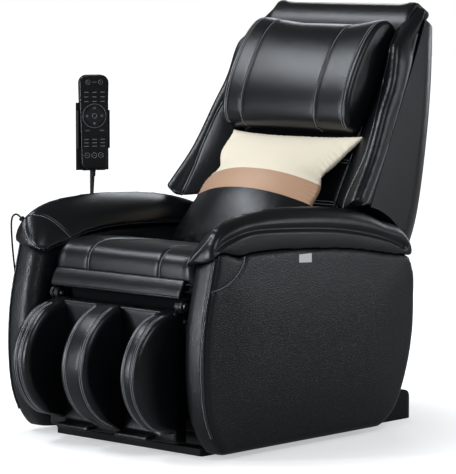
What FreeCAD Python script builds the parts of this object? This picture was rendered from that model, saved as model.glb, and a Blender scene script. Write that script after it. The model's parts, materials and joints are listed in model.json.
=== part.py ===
import FreeCAD, Part
import math
import os

from FreeCAD import Vector

# A padded massage armchair. Millimetres, Z up, the sitter faces -Y, the sitter's left is +X.
# The origin lies on the floor under the middle of the base tray.

# Widths, measured from the middle plane. The seat's width drives the frame, the arms and the leg rest
SEAT_HALF = 244.0
ARM_THICK = 85.0
ARM_GAP = 21.0
PAD_OVERHANG = 16.0
FRAME_INSET = 2.0
LEG_GAP = 1.0

# Named clearances
SOFT_GAP = 0.4
FACE_GAP = 0.3
RUN_GAP = 0.05
TRIM_GAP = 0.1
SIDE_GAP = 3.0

# Base tray and frame
TRAY_INSET = 7.0
TRAY_FRONT = -370.0
TRAY_REAR = 438.0
TRAY_HEIGHT = 24.0
TRAY_WALL = 6.0
TRAY_CORNER = 28.0
TAIL_HEIGHT = 78.0
TAIL_LENGTH = 92.0
TUBE_W = 20.0
TUBE_H = 30.0
RAIL_FRONT = -352.0
RAIL_REAR = 205.0
BASE_RAIL_REAR = 330.0
POST_Y = (-300.0, 180.0)
SEAT_RAIL_Z = 345.0
WHEEL_R = 30.0
WHEEL_W = 22.0
WHEEL_AXLE_R = 6.0
WHEEL_INSET = 53.0
WHEEL_Y = 396.0

# Seat
PAN_INSET = 8.0
PAN_THICK = 12.0
PAN_FRONT = -350.0
PAN_REAR = 96.0
CUSHION_FRONT = -386.0
CUSHION_REAR = 100.0
CUSHION_CREST = 503.0
CUSHION_BACK_TOP = 447.0
CUSHION_CROWN = 6.0
SEAM_X = 124.0
SEAM_WIDTH = 4.0
SEAM_DEPTH = 5.0
FLAP_LENGTH = 44.0
FLAP_DROP = 76.0
FLAP_THICK = 13.0
FLAP_SLOPE = 25.0
FLAP_OVERHANG = 5.0

# Recline: pivot, lean of the back from upright, and the sweep that the wings clear
PIVOT_Y = 150.0
PIVOT_Z = 360.0
LEAN = 29.3
RECLINE_MAX = 45.0
SWEEP_R = 223.0
BETWEEN_INSET = 8.0

# Backrest, in its own frame: X across, D behind the pivot line, S up along the back
PAD_FRONT_D = -80.0
PAD_THICK = 40.0
PAD_HALF = 205.0
PAD_LOW_S = 72.0
PAD_TOP_S = 722.0
SHELL_FRONT_D = -66.0
SHELL_WALL = 8.0
CAP_TOP_S = 798.0
CAP_HALF = 245.0
CAP_CORNER = 62.0
CAP_REAR_D = -14.0
PILLOW_HALF = 244.0
RAIL_IN_X = 150.0
RAIL_LOW_S = 140.0
RAIL_TOP_S = 640.0
RACK_MODULE = 2.5
PINION_TEETH = 14
TOOTH_REACH = 0.7
TOOTH_SLACK = 0.35
PINION_WIDTH = 10.0
CARRIAGE_S = 262.0
CARRIAGE_TRAVEL = 220.0
ROLLER_R = 29.0
ROLLER_W = 26.0
ROLLER_SPREAD = 62.0
ROLLER_X = 62.0

ROLLER_AXLE_R = 6.0
ROLLER_D = -2.0
KNEAD_D = 38.0
KNEAD_SHAFT_R = 7.0
DRIVE_SHAFT_R = 5.0
CARRIAGE_X = (128.0, 134.0)
ARM_X = (36.0, 44.0)
RACK_X = (140.0, 154.0)
RAIL_D = (-10.0, 20.0)
PILLOW_TILT = 12.9
PILLOW_SEAMS = (-148.0, 110.0)
# Rows of (S up the back, value): shell depth behind, half width, and depth of the wings' nose
SHELL_REAR = ((120, 145), (215, 176), (393, 150), (560, 101), (696, 50), (754, 6))
SHELL_HALF = ((120, 318), (204, 315), (265, 312), (391, 303), (471, 298), (622, 288), (720, 280), (760, 274))
WING_HALF = ((90, 348), (204, 347), (265, 338), (391, 322), (471, 313), (622, 298), (700, 284), (742, 268))
WING_NOSE = ((90, -152), (204, -149), (283, -134), (391, -127), (471, -127), (543, -125), (645, -142),
             (700, -128), (728, -108), (742, -90))

# Leg rest
LEG_HINGE = (-398.0, 368.0)
LEG_LIFT_MAX = 80.0
LEG_BOX_FRONT = -426.0
LEG_BOX_REAR = -380.0
LEG_BOX_LOW = 32.0
LEG_BOX_TOP = 357.0
FIN_NOSE = -562.0
FIN_SIDE_WIDTH = 60.0
FIN_MID_WIDTH = 88.0
HINGE_PIN_R = 6.0
LEG_PLATE = 4.0
LUG_THICK = 13.0
LUG_GAP = 3.0
EAR_THICK = 8.0

# Drives: two spindle actuators under the seat, one for the back and one for the leg rest
RECLINE_X = -70.0
RECLINE_CRANK = 80.0
LEG_DRIVE_X = 70.0
LEG_CRANK = 50.0
ROD_R = 10.0
DRIVE_TUBE_R = 16.0
DRIVE_TUBE_LENGTH = 205.0
EYE_R = 17.0
EYE_THICK = 10.0
CRANK_PIN_R = 5.0
RECLINE_PLAY = 3.6
LEG_PLAY = 6.6
GEARBOX = 46.0
PIVOT_PIN_R = 8.0
ARM_BOLT_R = 4.0
ARM_BOLT_Z = (120.0, 300.0)

# Handset
HAND_W = 80.0
HAND_L = 248.0
HAND_T = 24.0
HAND_REACH = 42.0
HAND_Y = -100.0
HAND_Z = 780.0
HAND_TURN = 60.0
KEY_TRAVEL = 0.8
KEY_PROUD = 1.2
KEY_GAP = 0.25
CORD_D = 5.0
HAND_SEAM = -2.0
GROMMET_Y = -399.0
GROMMET_Z = 548.0
GROMMET_WAY = (-0.75, -0.1, 0.65)
CORD_POINTS = (
    (-392, -100, 636),
    (-391, -103, 602),
    (-390, -112, 541),
    (-389, -124, 474),
    (-388, -140, 404),
    (-387, -161, 336),
    (-386, -190, 272),
    (-386, -230, 220),
    (-385, -281, 197),
    (-385, -330, 216),
    (-385, -362, 268),
    (-384, -380, 334),
    (-384, -391, 402),
    (-385, -399, 466),
    (-386, -402, 520),
    (-385.2, -401.2, 546.3),
    (-375.5, -400.8, 556.4),
    (-361.5, -400.4, 557.1),
    (-351, -399, 548),
)

# Rear cover and mains inlet
COVER_Y = 376.0
COVER_INSET = 3.0
INLET_BOX = (86.0, 190.0, 108.0, 140.0)
SWITCH_X = 104.0
SWITCH_Z = 124.0
SWITCH_DEPTH = 3.0
SWITCH_TILT = 5.0

ARM_INNER = SEAT_HALF + ARM_GAP
ARM_OUTER = ARM_INNER + ARM_THICK
PAD_INNER = ARM_INNER - PAD_OVERHANG
PAN_HALF = SEAT_HALF - PAN_INSET
BETWEEN_ARMS = SEAT_HALF - BETWEEN_INSET
RAIL_X = SEAT_HALF - FRAME_INSET - TUBE_W / 2
LEG_HALF = RAIL_X - TUBE_W / 2 - LEG_GAP
FLAP_HALF = LEG_HALF + FLAP_OVERHANG
TRAY_HALF = ARM_INNER - TRAY_INSET
COVER_HALF = TRAY_HALF - COVER_INSET
WHEEL_X = TRAY_HALF - WHEEL_INSET
EAR_X = (RAIL_X - TUBE_W / 2, RAIL_X - TUBE_W / 2 + EAR_THICK)
LUG_X = (EAR_X[0] - LUG_GAP - LUG_THICK, EAR_X[0] - LUG_GAP)
HAND_AT = (-ARM_OUTER - HAND_REACH, HAND_Y, HAND_Z)
GROMMET_MOUTH = (-ARM_OUTER - 1, GROMMET_Y, GROMMET_Z)
SWITCH_PIVOT = (COVER_Y - SWITCH_DEPTH, SWITCH_Z)
PIVOT = Vector(0, PIVOT_Y, PIVOT_Z)
RECLINE_HALF = math.radians(RECLINE_MAX / 2)
LEG_LIFT_HALF = math.radians(LEG_LIFT_MAX / 2)
RECLINE_STROKE = 2 * RECLINE_CRANK * math.sin(RECLINE_HALF)
LEG_STROKE = 2 * LEG_CRANK * math.sin(LEG_LIFT_HALF)
RECLINE_PIN = (PIVOT_Y + RECLINE_STROKE / 2, PIVOT_Z - RECLINE_CRANK * math.cos(RECLINE_HALF))
LEG_PIN = (LEG_HINGE[0] + LEG_STROKE / 2, LEG_HINGE[1] - LEG_CRANK * math.cos(LEG_LIFT_HALF))
RECLINE_Z = RECLINE_PIN[1] - RECLINE_CRANK * (1 - math.cos(RECLINE_HALF)) / 2
LEG_DRIVE_Z = LEG_PIN[1] - LEG_CRANK * (1 - math.cos(LEG_LIFT_HALF)) / 2
RECLINE_NOSE = RECLINE_PIN[0] - EYE_R - RECLINE_STROKE - 8
LEG_NOSE = LEG_PIN[0] + EYE_R + 8
RECLINE_ANCHOR = RECLINE_NOSE - DRIVE_TUBE_LENGTH - GEARBOX - 12
LEG_ANCHOR = LEG_NOSE + DRIVE_TUBE_LENGTH + GEARBOX + 12
CROSS_Y = (RAIL_FRONT + 10, RECLINE_ANCHOR, LEG_ANCHOR, RAIL_REAR - 10)
RACK_LINE_D = RAIL_D[1] + 4.5
DRIVE_S = CARRIAGE_S - 40
DRIVE_D = RACK_LINE_D + RACK_MODULE * PINION_TEETH / 2
SEAT_RAIL_TOP = SEAT_RAIL_Z + TUBE_H
PAN_TOP = SEAT_RAIL_TOP + PAN_THICK
X_AXIS = Vector(1, 0, 0)
Y_AXIS = Vector(0, 1, 0)
Z_AXIS = Vector(0, 0, 1)


# Small helpers

def box(x0, x1, y0, y1, z0, z1):
    """Block between two corners."""
    return Part.makeBox(x1 - x0, y1 - y0, z1 - z0, Vector(x0, y0, z0))


def rod(start, end, radius):
    """Round bar from one point to another."""
    run = end - start
    return Part.makeCylinder(radius, run.Length, start, run)


def across(y, z, x0, x1, radius):
    """Round bar along X."""
    return rod(Vector(x0, y, z), Vector(x1, y, z), radius)


def side_view(x):
    """Plane at one X: a is Y and b is Z."""
    return lambda a, b: Vector(x, a, b)


def plan_view(z):
    """Plane at one Z: a is X and b is Y."""
    return lambda a, b: Vector(a, b, z)


def front_view(y):
    """Plane at one Y: a is X and b is Z."""
    return lambda a, b: Vector(a, y, b)


def rounded(corners, place):
    """Closed wire through corners (a, b, radius), each rounded by its own radius."""
    points = [Vector(a, b, 0) for a, b, radius in corners]
    edges = []
    entries = []
    exits = []
    for index, corner in enumerate(corners):
        here = points[index]
        back = (points[index - 1] - here).normalize()
        ahead = (points[(index + 1) % len(points)] - here).normalize()
        half = back.getAngle(ahead) / 2
        reach = corner[2] / math.tan(half)
        entries.append(here + back * reach)
        exits.append(here + ahead * reach)
        if corner[2] > 0:
            inward = (back + ahead).normalize()
            middle = here + inward * (corner[2] / math.sin(half) - corner[2])
            spots = [entries[-1], middle, exits[-1]]
            edges.append(Part.Arc(*[place(p.x, p.y) for p in spots]).toShape())
        if index:
            add_line(edges, exits[index - 1], entries[index], place)
    add_line(edges, exits[-1], entries[0], place)
    return Part.Wire(Part.__sortEdges__(edges))


def add_line(edges, start, end, place):
    """Add a straight edge unless its ends meet."""
    if (end - start).Length > 0.001:
        edges.append(Part.makeLine(place(start.x, start.y), place(end.x, end.y)))


def chain(start, steps, place):
    """Closed wire from a start point. A step of two numbers is a line, one of four is an arc."""
    edges = []
    here = start
    for step in steps:
        there = step[-2:]
        if len(step) == 4:
            edges.append(Part.Arc(place(*here), place(*step[:2]), place(*there)).toShape())
        else:
            edges.append(Part.makeLine(place(*here), place(*there)))
        here = there
    if math.dist(here, start) > 0.001:
        edges.append(Part.makeLine(place(*here), place(*start)))
    return Part.Wire(edges)


def prism(wire, run):
    """Solid from a flat closed wire and a run."""
    return Part.Face(wire).extrude(run)


def loft(wires, ruled=False):
    """Solid through closed wires."""
    return Part.makeLoft(wires, True, ruled)


def mirrored(shape):
    """The same piece on the other side of the middle plane."""
    return shape.mirror(Vector(0, 0, 0), X_AXIS)


def both_sides(shape):
    """A piece and its mirror image."""
    return [shape, mirrored(shape)]


def fused(shapes):
    """One solid from pieces that touch or overlap."""
    return shapes[0].fuse(shapes[1:]).removeSplitter()


def soften(shape, radius, wanted):
    """Round the edges whose bounding box passes a test."""
    return shape.makeFillet(radius, [edge for edge in shape.Edges if wanted(edge.BoundBox)])


def on_back(shape):
    """Lean a shape that was built upright: X across, Y behind the pivot line, Z up the back."""
    placed = shape.copy()
    placed.rotate(Vector(0, 0, 0), X_AXIS, -LEAN)
    placed.translate(PIVOT)
    return placed


def save(name, shapes):
    """Write one node from its solids."""
    solids = [solid for shape in shapes for solid in shape.Solids]
    for solid in solids:
        if not solid.isValid() or solid.Volume <= 0:
            print("check", name, solid.isValid(), round(solid.Volume))
    whole = solids[0] if len(solids) == 1 else Part.makeCompound(solids)
    whole.exportStep(f"parts/{name}.step")


# Base

def base_tray():
    """Moulded floor tray with a raised tail that holds the two transport wheels."""
    tail_top = TAIL_HEIGHT
    lift = TRAY_REAR - TAIL_LENGTH
    side = chain((TRAY_FRONT, 0), [
        (TRAY_REAR, 0),
        (TRAY_REAR + 3, 22, TRAY_REAR - 5, 48),
        (TRAY_REAR - 14, 68, TRAY_REAR - 42, tail_top),
        (lift + 26, tail_top),
        (lift + 8, tail_top - 18, lift, TRAY_HEIGHT),
        (TRAY_FRONT + 6, TRAY_HEIGHT),
        (TRAY_FRONT, TRAY_HEIGHT - 6),
    ], side_view(-TRAY_HALF))
    plan = rounded([
        (-TRAY_HALF, TRAY_FRONT - 1, 12),
        (TRAY_HALF, TRAY_FRONT - 1, 12),
        (TRAY_HALF, TRAY_REAR + 5, TRAY_CORNER),
        (-TRAY_HALF, TRAY_REAR + 5, TRAY_CORNER),
    ], plan_view(0))
    tray = prism(side, Vector(2 * TRAY_HALF, 0, 0))
    tray = tray.common(prism(plan, Vector(0, 0, tail_top)))
    inner = RAIL_X - TUBE_W / 2 - 4
    pocket = box(-inner, inner, TRAY_FRONT + 40, lift - 20, TRAY_WALL, TRAY_HEIGHT + 1)
    tray = tray.cut(pocket)
    rib_half = 2.0
    ribs = [box(-inner, inner, y - rib_half, y + rib_half, TRAY_WALL, TRAY_HEIGHT - 6)
            for y in (-180.0, 10.0)]
    tray = fused([tray] + ribs)
    for x in (-WHEEL_X, WHEEL_X):
        half = WHEEL_W / 2 + SIDE_GAP
        reach = WHEEL_R + 4
        well = box(x - half, x + half, WHEEL_Y - reach, TRAY_REAR + 9, -1, WHEEL_R + reach)
        tray = tray.cut(well)
        tray = tray.cut(wheel_axle(x, RUN_GAP))
    return tray


def wheel_axle(x, extra=0.0):
    """Steel pin that carries one transport wheel in the tail."""
    half = WHEEL_W / 2 + SIDE_GAP + 10 + extra
    return across(WHEEL_Y, WHEEL_R + 1.5, x - half, x + half, WHEEL_AXLE_R + extra)


def transport_wheel(x):
    """Wheel with a tyre groove, a dished face and a bore."""
    half = WHEEL_W / 2
    bore = WHEEL_AXLE_R + RUN_GAP
    middle = WHEEL_R + 1.5
    section = chain((x - half, middle + bore), [
        (x + half, middle + bore),
        (x + half, middle + 12),
        (x + half - 4, middle + 15),
        (x + half - 4, middle + 21),
        (x + half, middle + 23),
        (x + half, middle + WHEEL_R - 4),
        (x + half - 4, middle + WHEEL_R),
        (x - half + 4, middle + WHEEL_R),
        (x - half, middle + WHEEL_R - 4),
        (x - half, middle + 23),
        (x - half + 4, middle + 21),
        (x - half + 4, middle + 15),
        (x - half, middle + 12),
    ], front_view(WHEEL_Y))
    return Part.Face(section).revolve(Vector(x, WHEEL_Y, middle), X_AXIS, 360)


def base_frame():
    """Welded rails and cross tubes that stand on the tray's rims."""
    low = TRAY_HEIGHT
    high = low + TUBE_H
    pieces = []
    for x in (-RAIL_X, RAIL_X):
        pieces.append(box(x - TUBE_W / 2, x + TUBE_W / 2, RAIL_FRONT, BASE_RAIL_REAR, low, high))
    inner = RAIL_X - TUBE_W / 2
    for y in (RAIL_FRONT, BASE_RAIL_REAR - TUBE_W):
        pieces.append(box(-inner, inner, y, y + TUBE_W, low, high))
    return fused(pieces)


def ear(y, z, x0, x1, reach, radius):
    """Plate with a round nose at a pin and a web that runs along Y."""
    nose = across(y, z, x0, x1, radius)
    low, high = sorted((y, y + reach))
    return nose.fuse(box(x0, x1, low, high, z - radius, z + radius))


def seat_frame():
    """Posts, side rails, cross tubes and the ears of the two hinges."""
    pieces = []
    half = TUBE_W / 2
    low = TRAY_HEIGHT + TUBE_H
    for x in (-RAIL_X, RAIL_X):
        pieces.append(box(x - half, x + half, RAIL_FRONT, RAIL_REAR, SEAT_RAIL_Z, SEAT_RAIL_TOP))
        for y in POST_Y:
            pieces.append(box(x - half, x + half, y - 15, y + 15, low, SEAT_RAIL_Z))
    inner = RAIL_X - half
    for y in CROSS_Y:
        pieces.append(box(-inner, inner, y - half, y + half, SEAT_RAIL_Z, SEAT_RAIL_TOP))
    for sign in (-1, 1):
        x0, x1 = sorted((sign * EAR_X[0], sign * EAR_X[1]))
        y, z = LEG_HINGE
        pieces.append(ear(y, z, x0, x1, RAIL_FRONT - y, 16))
    pieces += anchor_ears(RECLINE_X, RECLINE_ANCHOR, RECLINE_Z)
    pieces += anchor_ears(LEG_DRIVE_X, LEG_ANCHOR, LEG_DRIVE_Z)
    frame = fused(pieces)
    for x in (-RAIL_X, RAIL_X):
        frame = frame.cut(across(PIVOT_Y, PIVOT_Z, x - 20, x + 20, PIVOT_PIN_R + RUN_GAP))
        frame = frame.cut(across(*LEG_HINGE, x - 20, x + 20, HINGE_PIN_R + RUN_GAP))
    for x in (-RAIL_X, RAIL_X):
        for y in POST_Y:
            for z in ARM_BOLT_Z:
                frame = frame.cut(across(y, z, x - 20, x + 20, ARM_BOLT_R + RUN_GAP))
    return frame


def anchor_ears(x, y, z):
    """Two ears and a pin under a cross tube that hold the tail of an actuator."""
    ears = []
    for side in (-1, 1):
        x0, x1 = sorted((x + side * 6.5, x + side * 11.5))
        ears.append(box(x0, x1, y - 10, y + 10, z - 10, SEAT_RAIL_Z + 6))
    return ears + [across(y, z, x - 14, x + 14, CRANK_PIN_R)]


def pivot_pins():
    """Headed pins of the back's pivot and of the leg rest's hinge."""
    pins = []
    places = (
        (PIVOT_Y, PIVOT_Z, PIVOT_PIN_R, RAIL_X + TUBE_W / 2, 46),
        (*LEG_HINGE, HINGE_PIN_R, EAR_X[1], 30),
    )
    for y, z, radius, outer, length in places:
        pin = across(y, z, outer - length, outer, radius)
        head = across(y, z, outer, outer + 5, radius + 4)
        pins += both_sides(pin.fuse(head))
    return pins


def arm_bolts():
    """Hex bolts with spacer bushes that hold the arms to the posts."""
    bolts = []
    inner = RAIL_X - TUBE_W / 2
    outer = RAIL_X + TUBE_W / 2
    for y in POST_Y:
        for z in ARM_BOLT_Z:
            corners = [(y + 7.5 * math.cos(turn), z + 7.5 * math.sin(turn), 0)
                       for turn in (math.radians(60 * k) for k in range(6))]
            head = prism(rounded(corners, side_view(inner - 6)), Vector(6, 0, 0))
            shank = across(y, z, inner - 3, ARM_INNER + 30, ARM_BOLT_R)
            bush = across(y, z, outer, ARM_INNER, 10)
            bolts += both_sides(fused([head, shank, bush]))
    return bolts


# Drives

def actuator(x, z, nose, away):
    """Spindle actuator: outer tube, gearbox, upright motor and a tongue on its anchor pin."""
    tail = nose + away * DRIVE_TUBE_LENGTH
    box_end = tail + away * GEARBOX
    anchor = box_end + away * 12
    half = GEARBOX / 2
    tube = rod(Vector(x, nose, z), Vector(x, tail, z), DRIVE_TUBE_R)
    collar = rod(Vector(x, nose, z), Vector(x, nose + away * 14, z), DRIVE_TUBE_R + 2)
    low, high = sorted((tail, box_end))
    case = box(x - half, x + half, low, high, z - half, z + half)
    case = soften(case, 5, lambda b: b.ZLength > GEARBOX - 1)
    motor_y = (tail + box_end) / 2
    motor = rod(Vector(x, motor_y, z - half), Vector(x, motor_y, z - half - 78), 21)
    cap = rod(Vector(x, motor_y, z - half - 78), Vector(x, motor_y, z - half - 84), 15)
    low, high = sorted((box_end, anchor))
    tongue = box(x - 6, x + 6, low, high, z - 9, z + 9)
    tip = across(anchor, z, x - 6, x + 6, 9)
    whole = fused([tube, collar, case, motor, cap, tongue, tip])
    bore_end = tail - away * 12
    whole = whole.cut(rod(Vector(x, nose, z), Vector(x, bore_end, z), ROD_R + RUN_GAP))
    return whole.cut(across(anchor, z, x - 6, x + 6, CRANK_PIN_R + RUN_GAP))


def actuator_rod(x, z, pin_y, away, stroke, play):
    """Rod of an actuator. Its eye is wide enough for the pin's small arc."""
    half = EYE_THICK / 2
    start = pin_y + away * (EYE_R + 3)
    bar = rod(Vector(x, start, z), Vector(x, pin_y + away * (EYE_R + stroke + 70), z), ROD_R)
    low, high = sorted((pin_y + away * 13, start))
    neck = box(x - half, x + half, low, high, z - 8, z + 8)
    eye = across(pin_y, z, x - half, x + half, EYE_R)
    whole = fused([bar, neck, eye])
    return whole.cut(across(pin_y, z, x - 20, x + 20, CRANK_PIN_R + play))


def link_plate(start, end, start_r, end_r, x0, x1):
    """Flat link with two round ends, given by the Y and Z of its ends."""
    run_y, run_z = end[0] - start[0], end[1] - start[1]
    length = math.hypot(run_y, run_z)
    side_y, side_z = -run_z / length, run_y / length
    corners = [
        (start[0] + side_y * start_r, start[1] + side_z * start_r, 0),
        (end[0] + side_y * end_r, end[1] + side_z * end_r, 0),
        (end[0] - side_y * end_r, end[1] - side_z * end_r, 0),
        (start[0] - side_y * start_r, start[1] - side_z * start_r, 0),
    ]
    web = prism(rounded(corners, side_view(x0)), Vector(x1 - x0, 0, 0))
    return fused([web, across(*start, x0, x1, start_r), across(*end, x0, x1, end_r)])


def crank(x, start, start_r, pin):
    """Two link plates with a pin between them."""
    plates = []
    for side in (-1, 1):
        x0, x1 = sorted((x + side * (EYE_THICK / 2 + 1), x + side * (EYE_THICK / 2 + 6)))
        plates.append(link_plate(start, pin, start_r, 10, x0, x1))
    return plates + [across(*pin, x - EYE_THICK / 2 - 8, x + EYE_THICK / 2 + 8, CRANK_PIN_R)]


# Seat

def seat_pan():
    """Plywood board with air holes that carries the seat cushion."""
    board = prism(rounded([
        (-PAN_HALF, PAN_FRONT, 24),
        (PAN_HALF, PAN_FRONT, 24),
        (PAN_HALF, PAN_REAR, 12),
        (-PAN_HALF, PAN_REAR, 12),
    ], plan_view(SEAT_RAIL_TOP)), Vector(0, 0, PAN_THICK))
    for x in (-110, 110):
        for y in (-250, -20):
            hole = rod(Vector(x, y, SEAT_RAIL_TOP), Vector(x, y, PAN_TOP), 18)
            board = board.cut(hole)
    return board


def cushion_wire(x, rise, pull):
    """Side outline of the seat cushion at one X."""
    low = PAN_TOP + SOFT_GAP
    front = CUSHION_FRONT + pull
    crest = CUSHION_CREST + rise
    back = CUSHION_BACK_TOP + rise
    rear = CUSHION_REAR - pull
    return chain((front + 16, low), [
        (front + 3, low + 12, front + 1, low + 36),
        (front, low + 56),
        (front + 9, crest - 26, front + 42, crest - 4),
        (front + 66, crest, front + 96, crest - 1),
        (-120, crest - 18, rear - 40, back + 5),
        (rear - 8, back - 6, rear, back - 22),
        (rear, low),
    ], side_view(x))


def seat_cushion_core(raised):
    """The cushion's crowned body before its channels are sewn, raised by a clearance."""
    stations = (
        (-SEAT_HALF, -16, 9),
        (-SEAT_HALF + 14, -4, 2),
        (-SEAM_X, 1, 0),
        (0, CUSHION_CROWN, 0),
        (SEAM_X, 1, 0),
        (SEAT_HALF - 14, -4, 2),
        (SEAT_HALF, -16, 9),
    )
    core = loft([cushion_wire(x, rise + raised, pull) for x, rise, pull in stations])
    return core.cut(box(-SEAT_HALF, SEAT_HALF, CUSHION_FRONT - 40, CUSHION_FRONT, PAN_TOP - 1, CUSHION_CREST + 40))


def seat_cushion():
    """Crowned cushion with a rounded front roll and two sewn channels."""
    cushion = seat_cushion_core(0)
    for x in (-SEAM_X, SEAM_X):
        start = x - SEAM_WIDTH / 2
        slab = box(start, start + SEAM_WIDTH, CUSHION_FRONT - 5, CUSHION_REAR - 30, PAN_TOP + 50, CUSHION_CREST + 40)
        core = prism(cushion_wire(start - 1, -SEAM_DEPTH, SEAM_DEPTH), Vector(SEAM_WIDTH + 2, 0, 0))
        cushion = cushion.cut(slab.cut(core))
    return cushion


def flap_line():
    """Y and Z of the seam that the calf flap folds about."""
    return CUSHION_FRONT - SOFT_GAP - FLAP_THICK / 2, CUSHION_CREST - FLAP_DROP


def seat_flap():
    """Padded calf flap that hangs from the front of the seat."""
    y, z = flap_line()
    half = FLAP_THICK / 2
    profile = chain((-half, 0), [
        (0, half, half, 0),
        (half + 2, -FLAP_LENGTH * 0.5, half - 1, -FLAP_LENGTH + half),
        (0, -FLAP_LENGTH, -half - 1, -FLAP_LENGTH + half),
        (-half - 3, -FLAP_LENGTH * 0.5, -half, 0),
    ], side_view(-FLAP_HALF))
    flap = prism(profile, Vector(2 * FLAP_HALF, 0, 0))
    flap.rotate(Vector(0, 0, 0), X_AXIS, -FLAP_SLOPE)
    flap.translate(Vector(0, y, z))
    return flap


# Arms, built on the sitter's left

def arm_pad_wire(y, low, top, inside, pull=0.0):
    """Section of the arm pad at one Y: flat underside, full outer flank, sloped inner flank."""
    inner = PAD_INNER + pull
    outer = ARM_OUTER - pull
    height = top - low
    return chain((inner, inside), [
        (outer, low),
        (outer + 1, low + 0.42 * height),
        (outer - 5, top - 0.2 * height, ARM_OUTER - 32, top),
        (ARM_OUTER - 71, (top + inside + 16) / 2 + 9, inner + 1, inside + 16),
        (inner - 3, inside + 8, inner, inside),
    ], front_view(y))


def under_pad_wire(y, low, top, inside, pull=0.0):
    """Section of all that lies above the underside of the arm pad at one Y."""
    inner = PAD_INNER + pull
    outer = ARM_OUTER - pull
    side = (outer - inner) * 0.3
    drop = (low - inside) * 0.3
    return chain((inner - side, inside - drop), [
        (outer + side, low + drop),
        (outer + side, 700),
        (inner - side, 700),
    ], front_view(y))


def arm_pad():
    """Padded arm rest whose crest follows the photographed curve, and the space above its underside."""
    stations = (
        (-430, 489, 505, 450, 8),
        (-423, 494, 524, 449, 2),
        (-405, 505, 550, 462),
        (-360, 503, 579, 478),
        (-280, 500, 596, 500),
        (-150, 498, 601, 514),
        (20, 487, 592, 514),
        (170, 468, 564, 503),
        (270, 452, 532, 489),
        (300, 447, 515, 479),
        (320, 444, 492, 469, 2),
        (330, 446, 478, 461, 8),
    )
    return loft([arm_pad_wire(*station) for station in stations]), loft([under_pad_wire(*station) for station in stations])


def arm_panel(pad, above):
    """Upholstered arm side down to the floor line, trimmed to the underside of its pad."""
    outline = chain((-386, 14), [
        (-428, 70, -452, 150),
        (-457, 260, -437, 400),
        (-406, 520),
        (-250, 522),
        (-45, 514),
        (150, 492),
        (299, 464),
        (327, 420, 336, 360),
        (331, 230, 289, 99),
        (258, 50, 200, 14),
    ], side_view(ARM_INNER))
    panel = prism(outline, Vector(ARM_THICK, 0, 0))
    panel = soften(panel, 14, lambda b: b.XMin > ARM_OUTER - 1 and b.ZMax < 440)
    panel = soften(panel, 36, lambda b: b.XMax < ARM_INNER + 1 and b.YMax < -380 and b.ZMax < 440 and b.ZMin > 100)
    for trim in (above.copy(), pad.copy()):
        trim.translate(Vector(0, 0, -TRIM_GAP))
        panel = panel.cut(trim)
    for y in POST_Y:
        for z in ARM_BOLT_Z:
            panel = panel.cut(across(y, z, ARM_INNER, ARM_INNER + 30, ARM_BOLT_R))
    return max(panel.Solids, key=lambda solid: solid.Volume)


def care_tag():
    """Woven tag sewn under the pad of the sitter's left arm."""
    return box(ARM_OUTER, ARM_OUTER + 1, -121, -74, 462, 492)


# Rear cover and electrics

def rear_cover():
    """Bent sheet behind the base with air slots, standing on the tray's tail."""
    face = COVER_Y
    thick = 3.0
    outline = chain((face, TAIL_HEIGHT), [
        (face, 200),
        (face - 28, 224),
        (face - 30, 221.6),
        (face - thick, 198.5),
        (face - thick, TAIL_HEIGHT),
    ], side_view(-COVER_HALF))
    cover = prism(outline, Vector(2 * COVER_HALF, 0, 0))
    for row in range(6):
        low = 112 + 12 * row
        cover = cover.cut(box(-190, -70, face - 5, face + 1, low, low + 4))
    x0, x1, z0, z1 = INLET_BOX
    return cover.cut(box(x0, x1, face - 5, face + 1, z0, z1))


def power_inlet():
    """Flanged mains inlet with three blades, beside the well of the rocker switch."""
    x0, x1, z0, z1 = INLET_BOX
    face = COVER_Y
    body = box(x0 + 0.3, x1 - 0.3, face - 30, face, z0 + 0.3, z1 - 0.3)
    flange = prism(rounded([
        (x0 - 5, z0 - 5, 4),
        (x1 + 5, z0 - 5, 4),
        (x1 + 5, z1 + 5, 4),
        (x0 - 5, z1 + 5, 4),
    ], front_view(face)), Vector(0, 2.5, 0))
    module = body.fuse(flange).removeSplitter()
    socket = box(x1 - 44, x1 - 8, face - 18, face + 3, z0 + 4, z1 - 4)
    well = box(SWITCH_X - 12.5, SWITCH_X + 12.5, face - 18, face + 3, SWITCH_Z - 13, SWITCH_Z + 13)
    module = module.cut(socket).cut(well)
    module = module.cut(across(*SWITCH_PIVOT, SWITCH_X - 14, SWITCH_X + 14, 2 + RUN_GAP))
    blades = []
    middle = x1 - 26
    for x, z in ((middle - 9, SWITCH_Z), (middle + 9, SWITCH_Z), (middle, SWITCH_Z + 4)):
        blades.append(box(x - 1, x + 1, face - 18, face - 4, z - 3, z + 3))
    return fused([module] + blades)


def power_switch():
    """Rocker with two side trunnions, tipped to its off side."""
    y, z = SWITCH_PIVOT
    outline = chain((y - 8, z - 4), [
        (y - 8, z + 4),
        (y - 2, z + 11.6),
        (y + 8.5, z + 11.6),
        (y + 6.5, z),
        (y + 8.5, z - 11.6),
        (y - 2, z - 11.6),
    ], side_view(SWITCH_X - 12))
    rocker = prism(outline, Vector(24, 0, 0))
    trunnion = across(y, z, SWITCH_X - 13.8, SWITCH_X + 13.8, 2)
    rocker = rocker.fuse(trunnion).removeSplitter()
    rocker.rotate(Vector(0, y, z), X_AXIS, -SWITCH_TILT)
    return rocker


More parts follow.
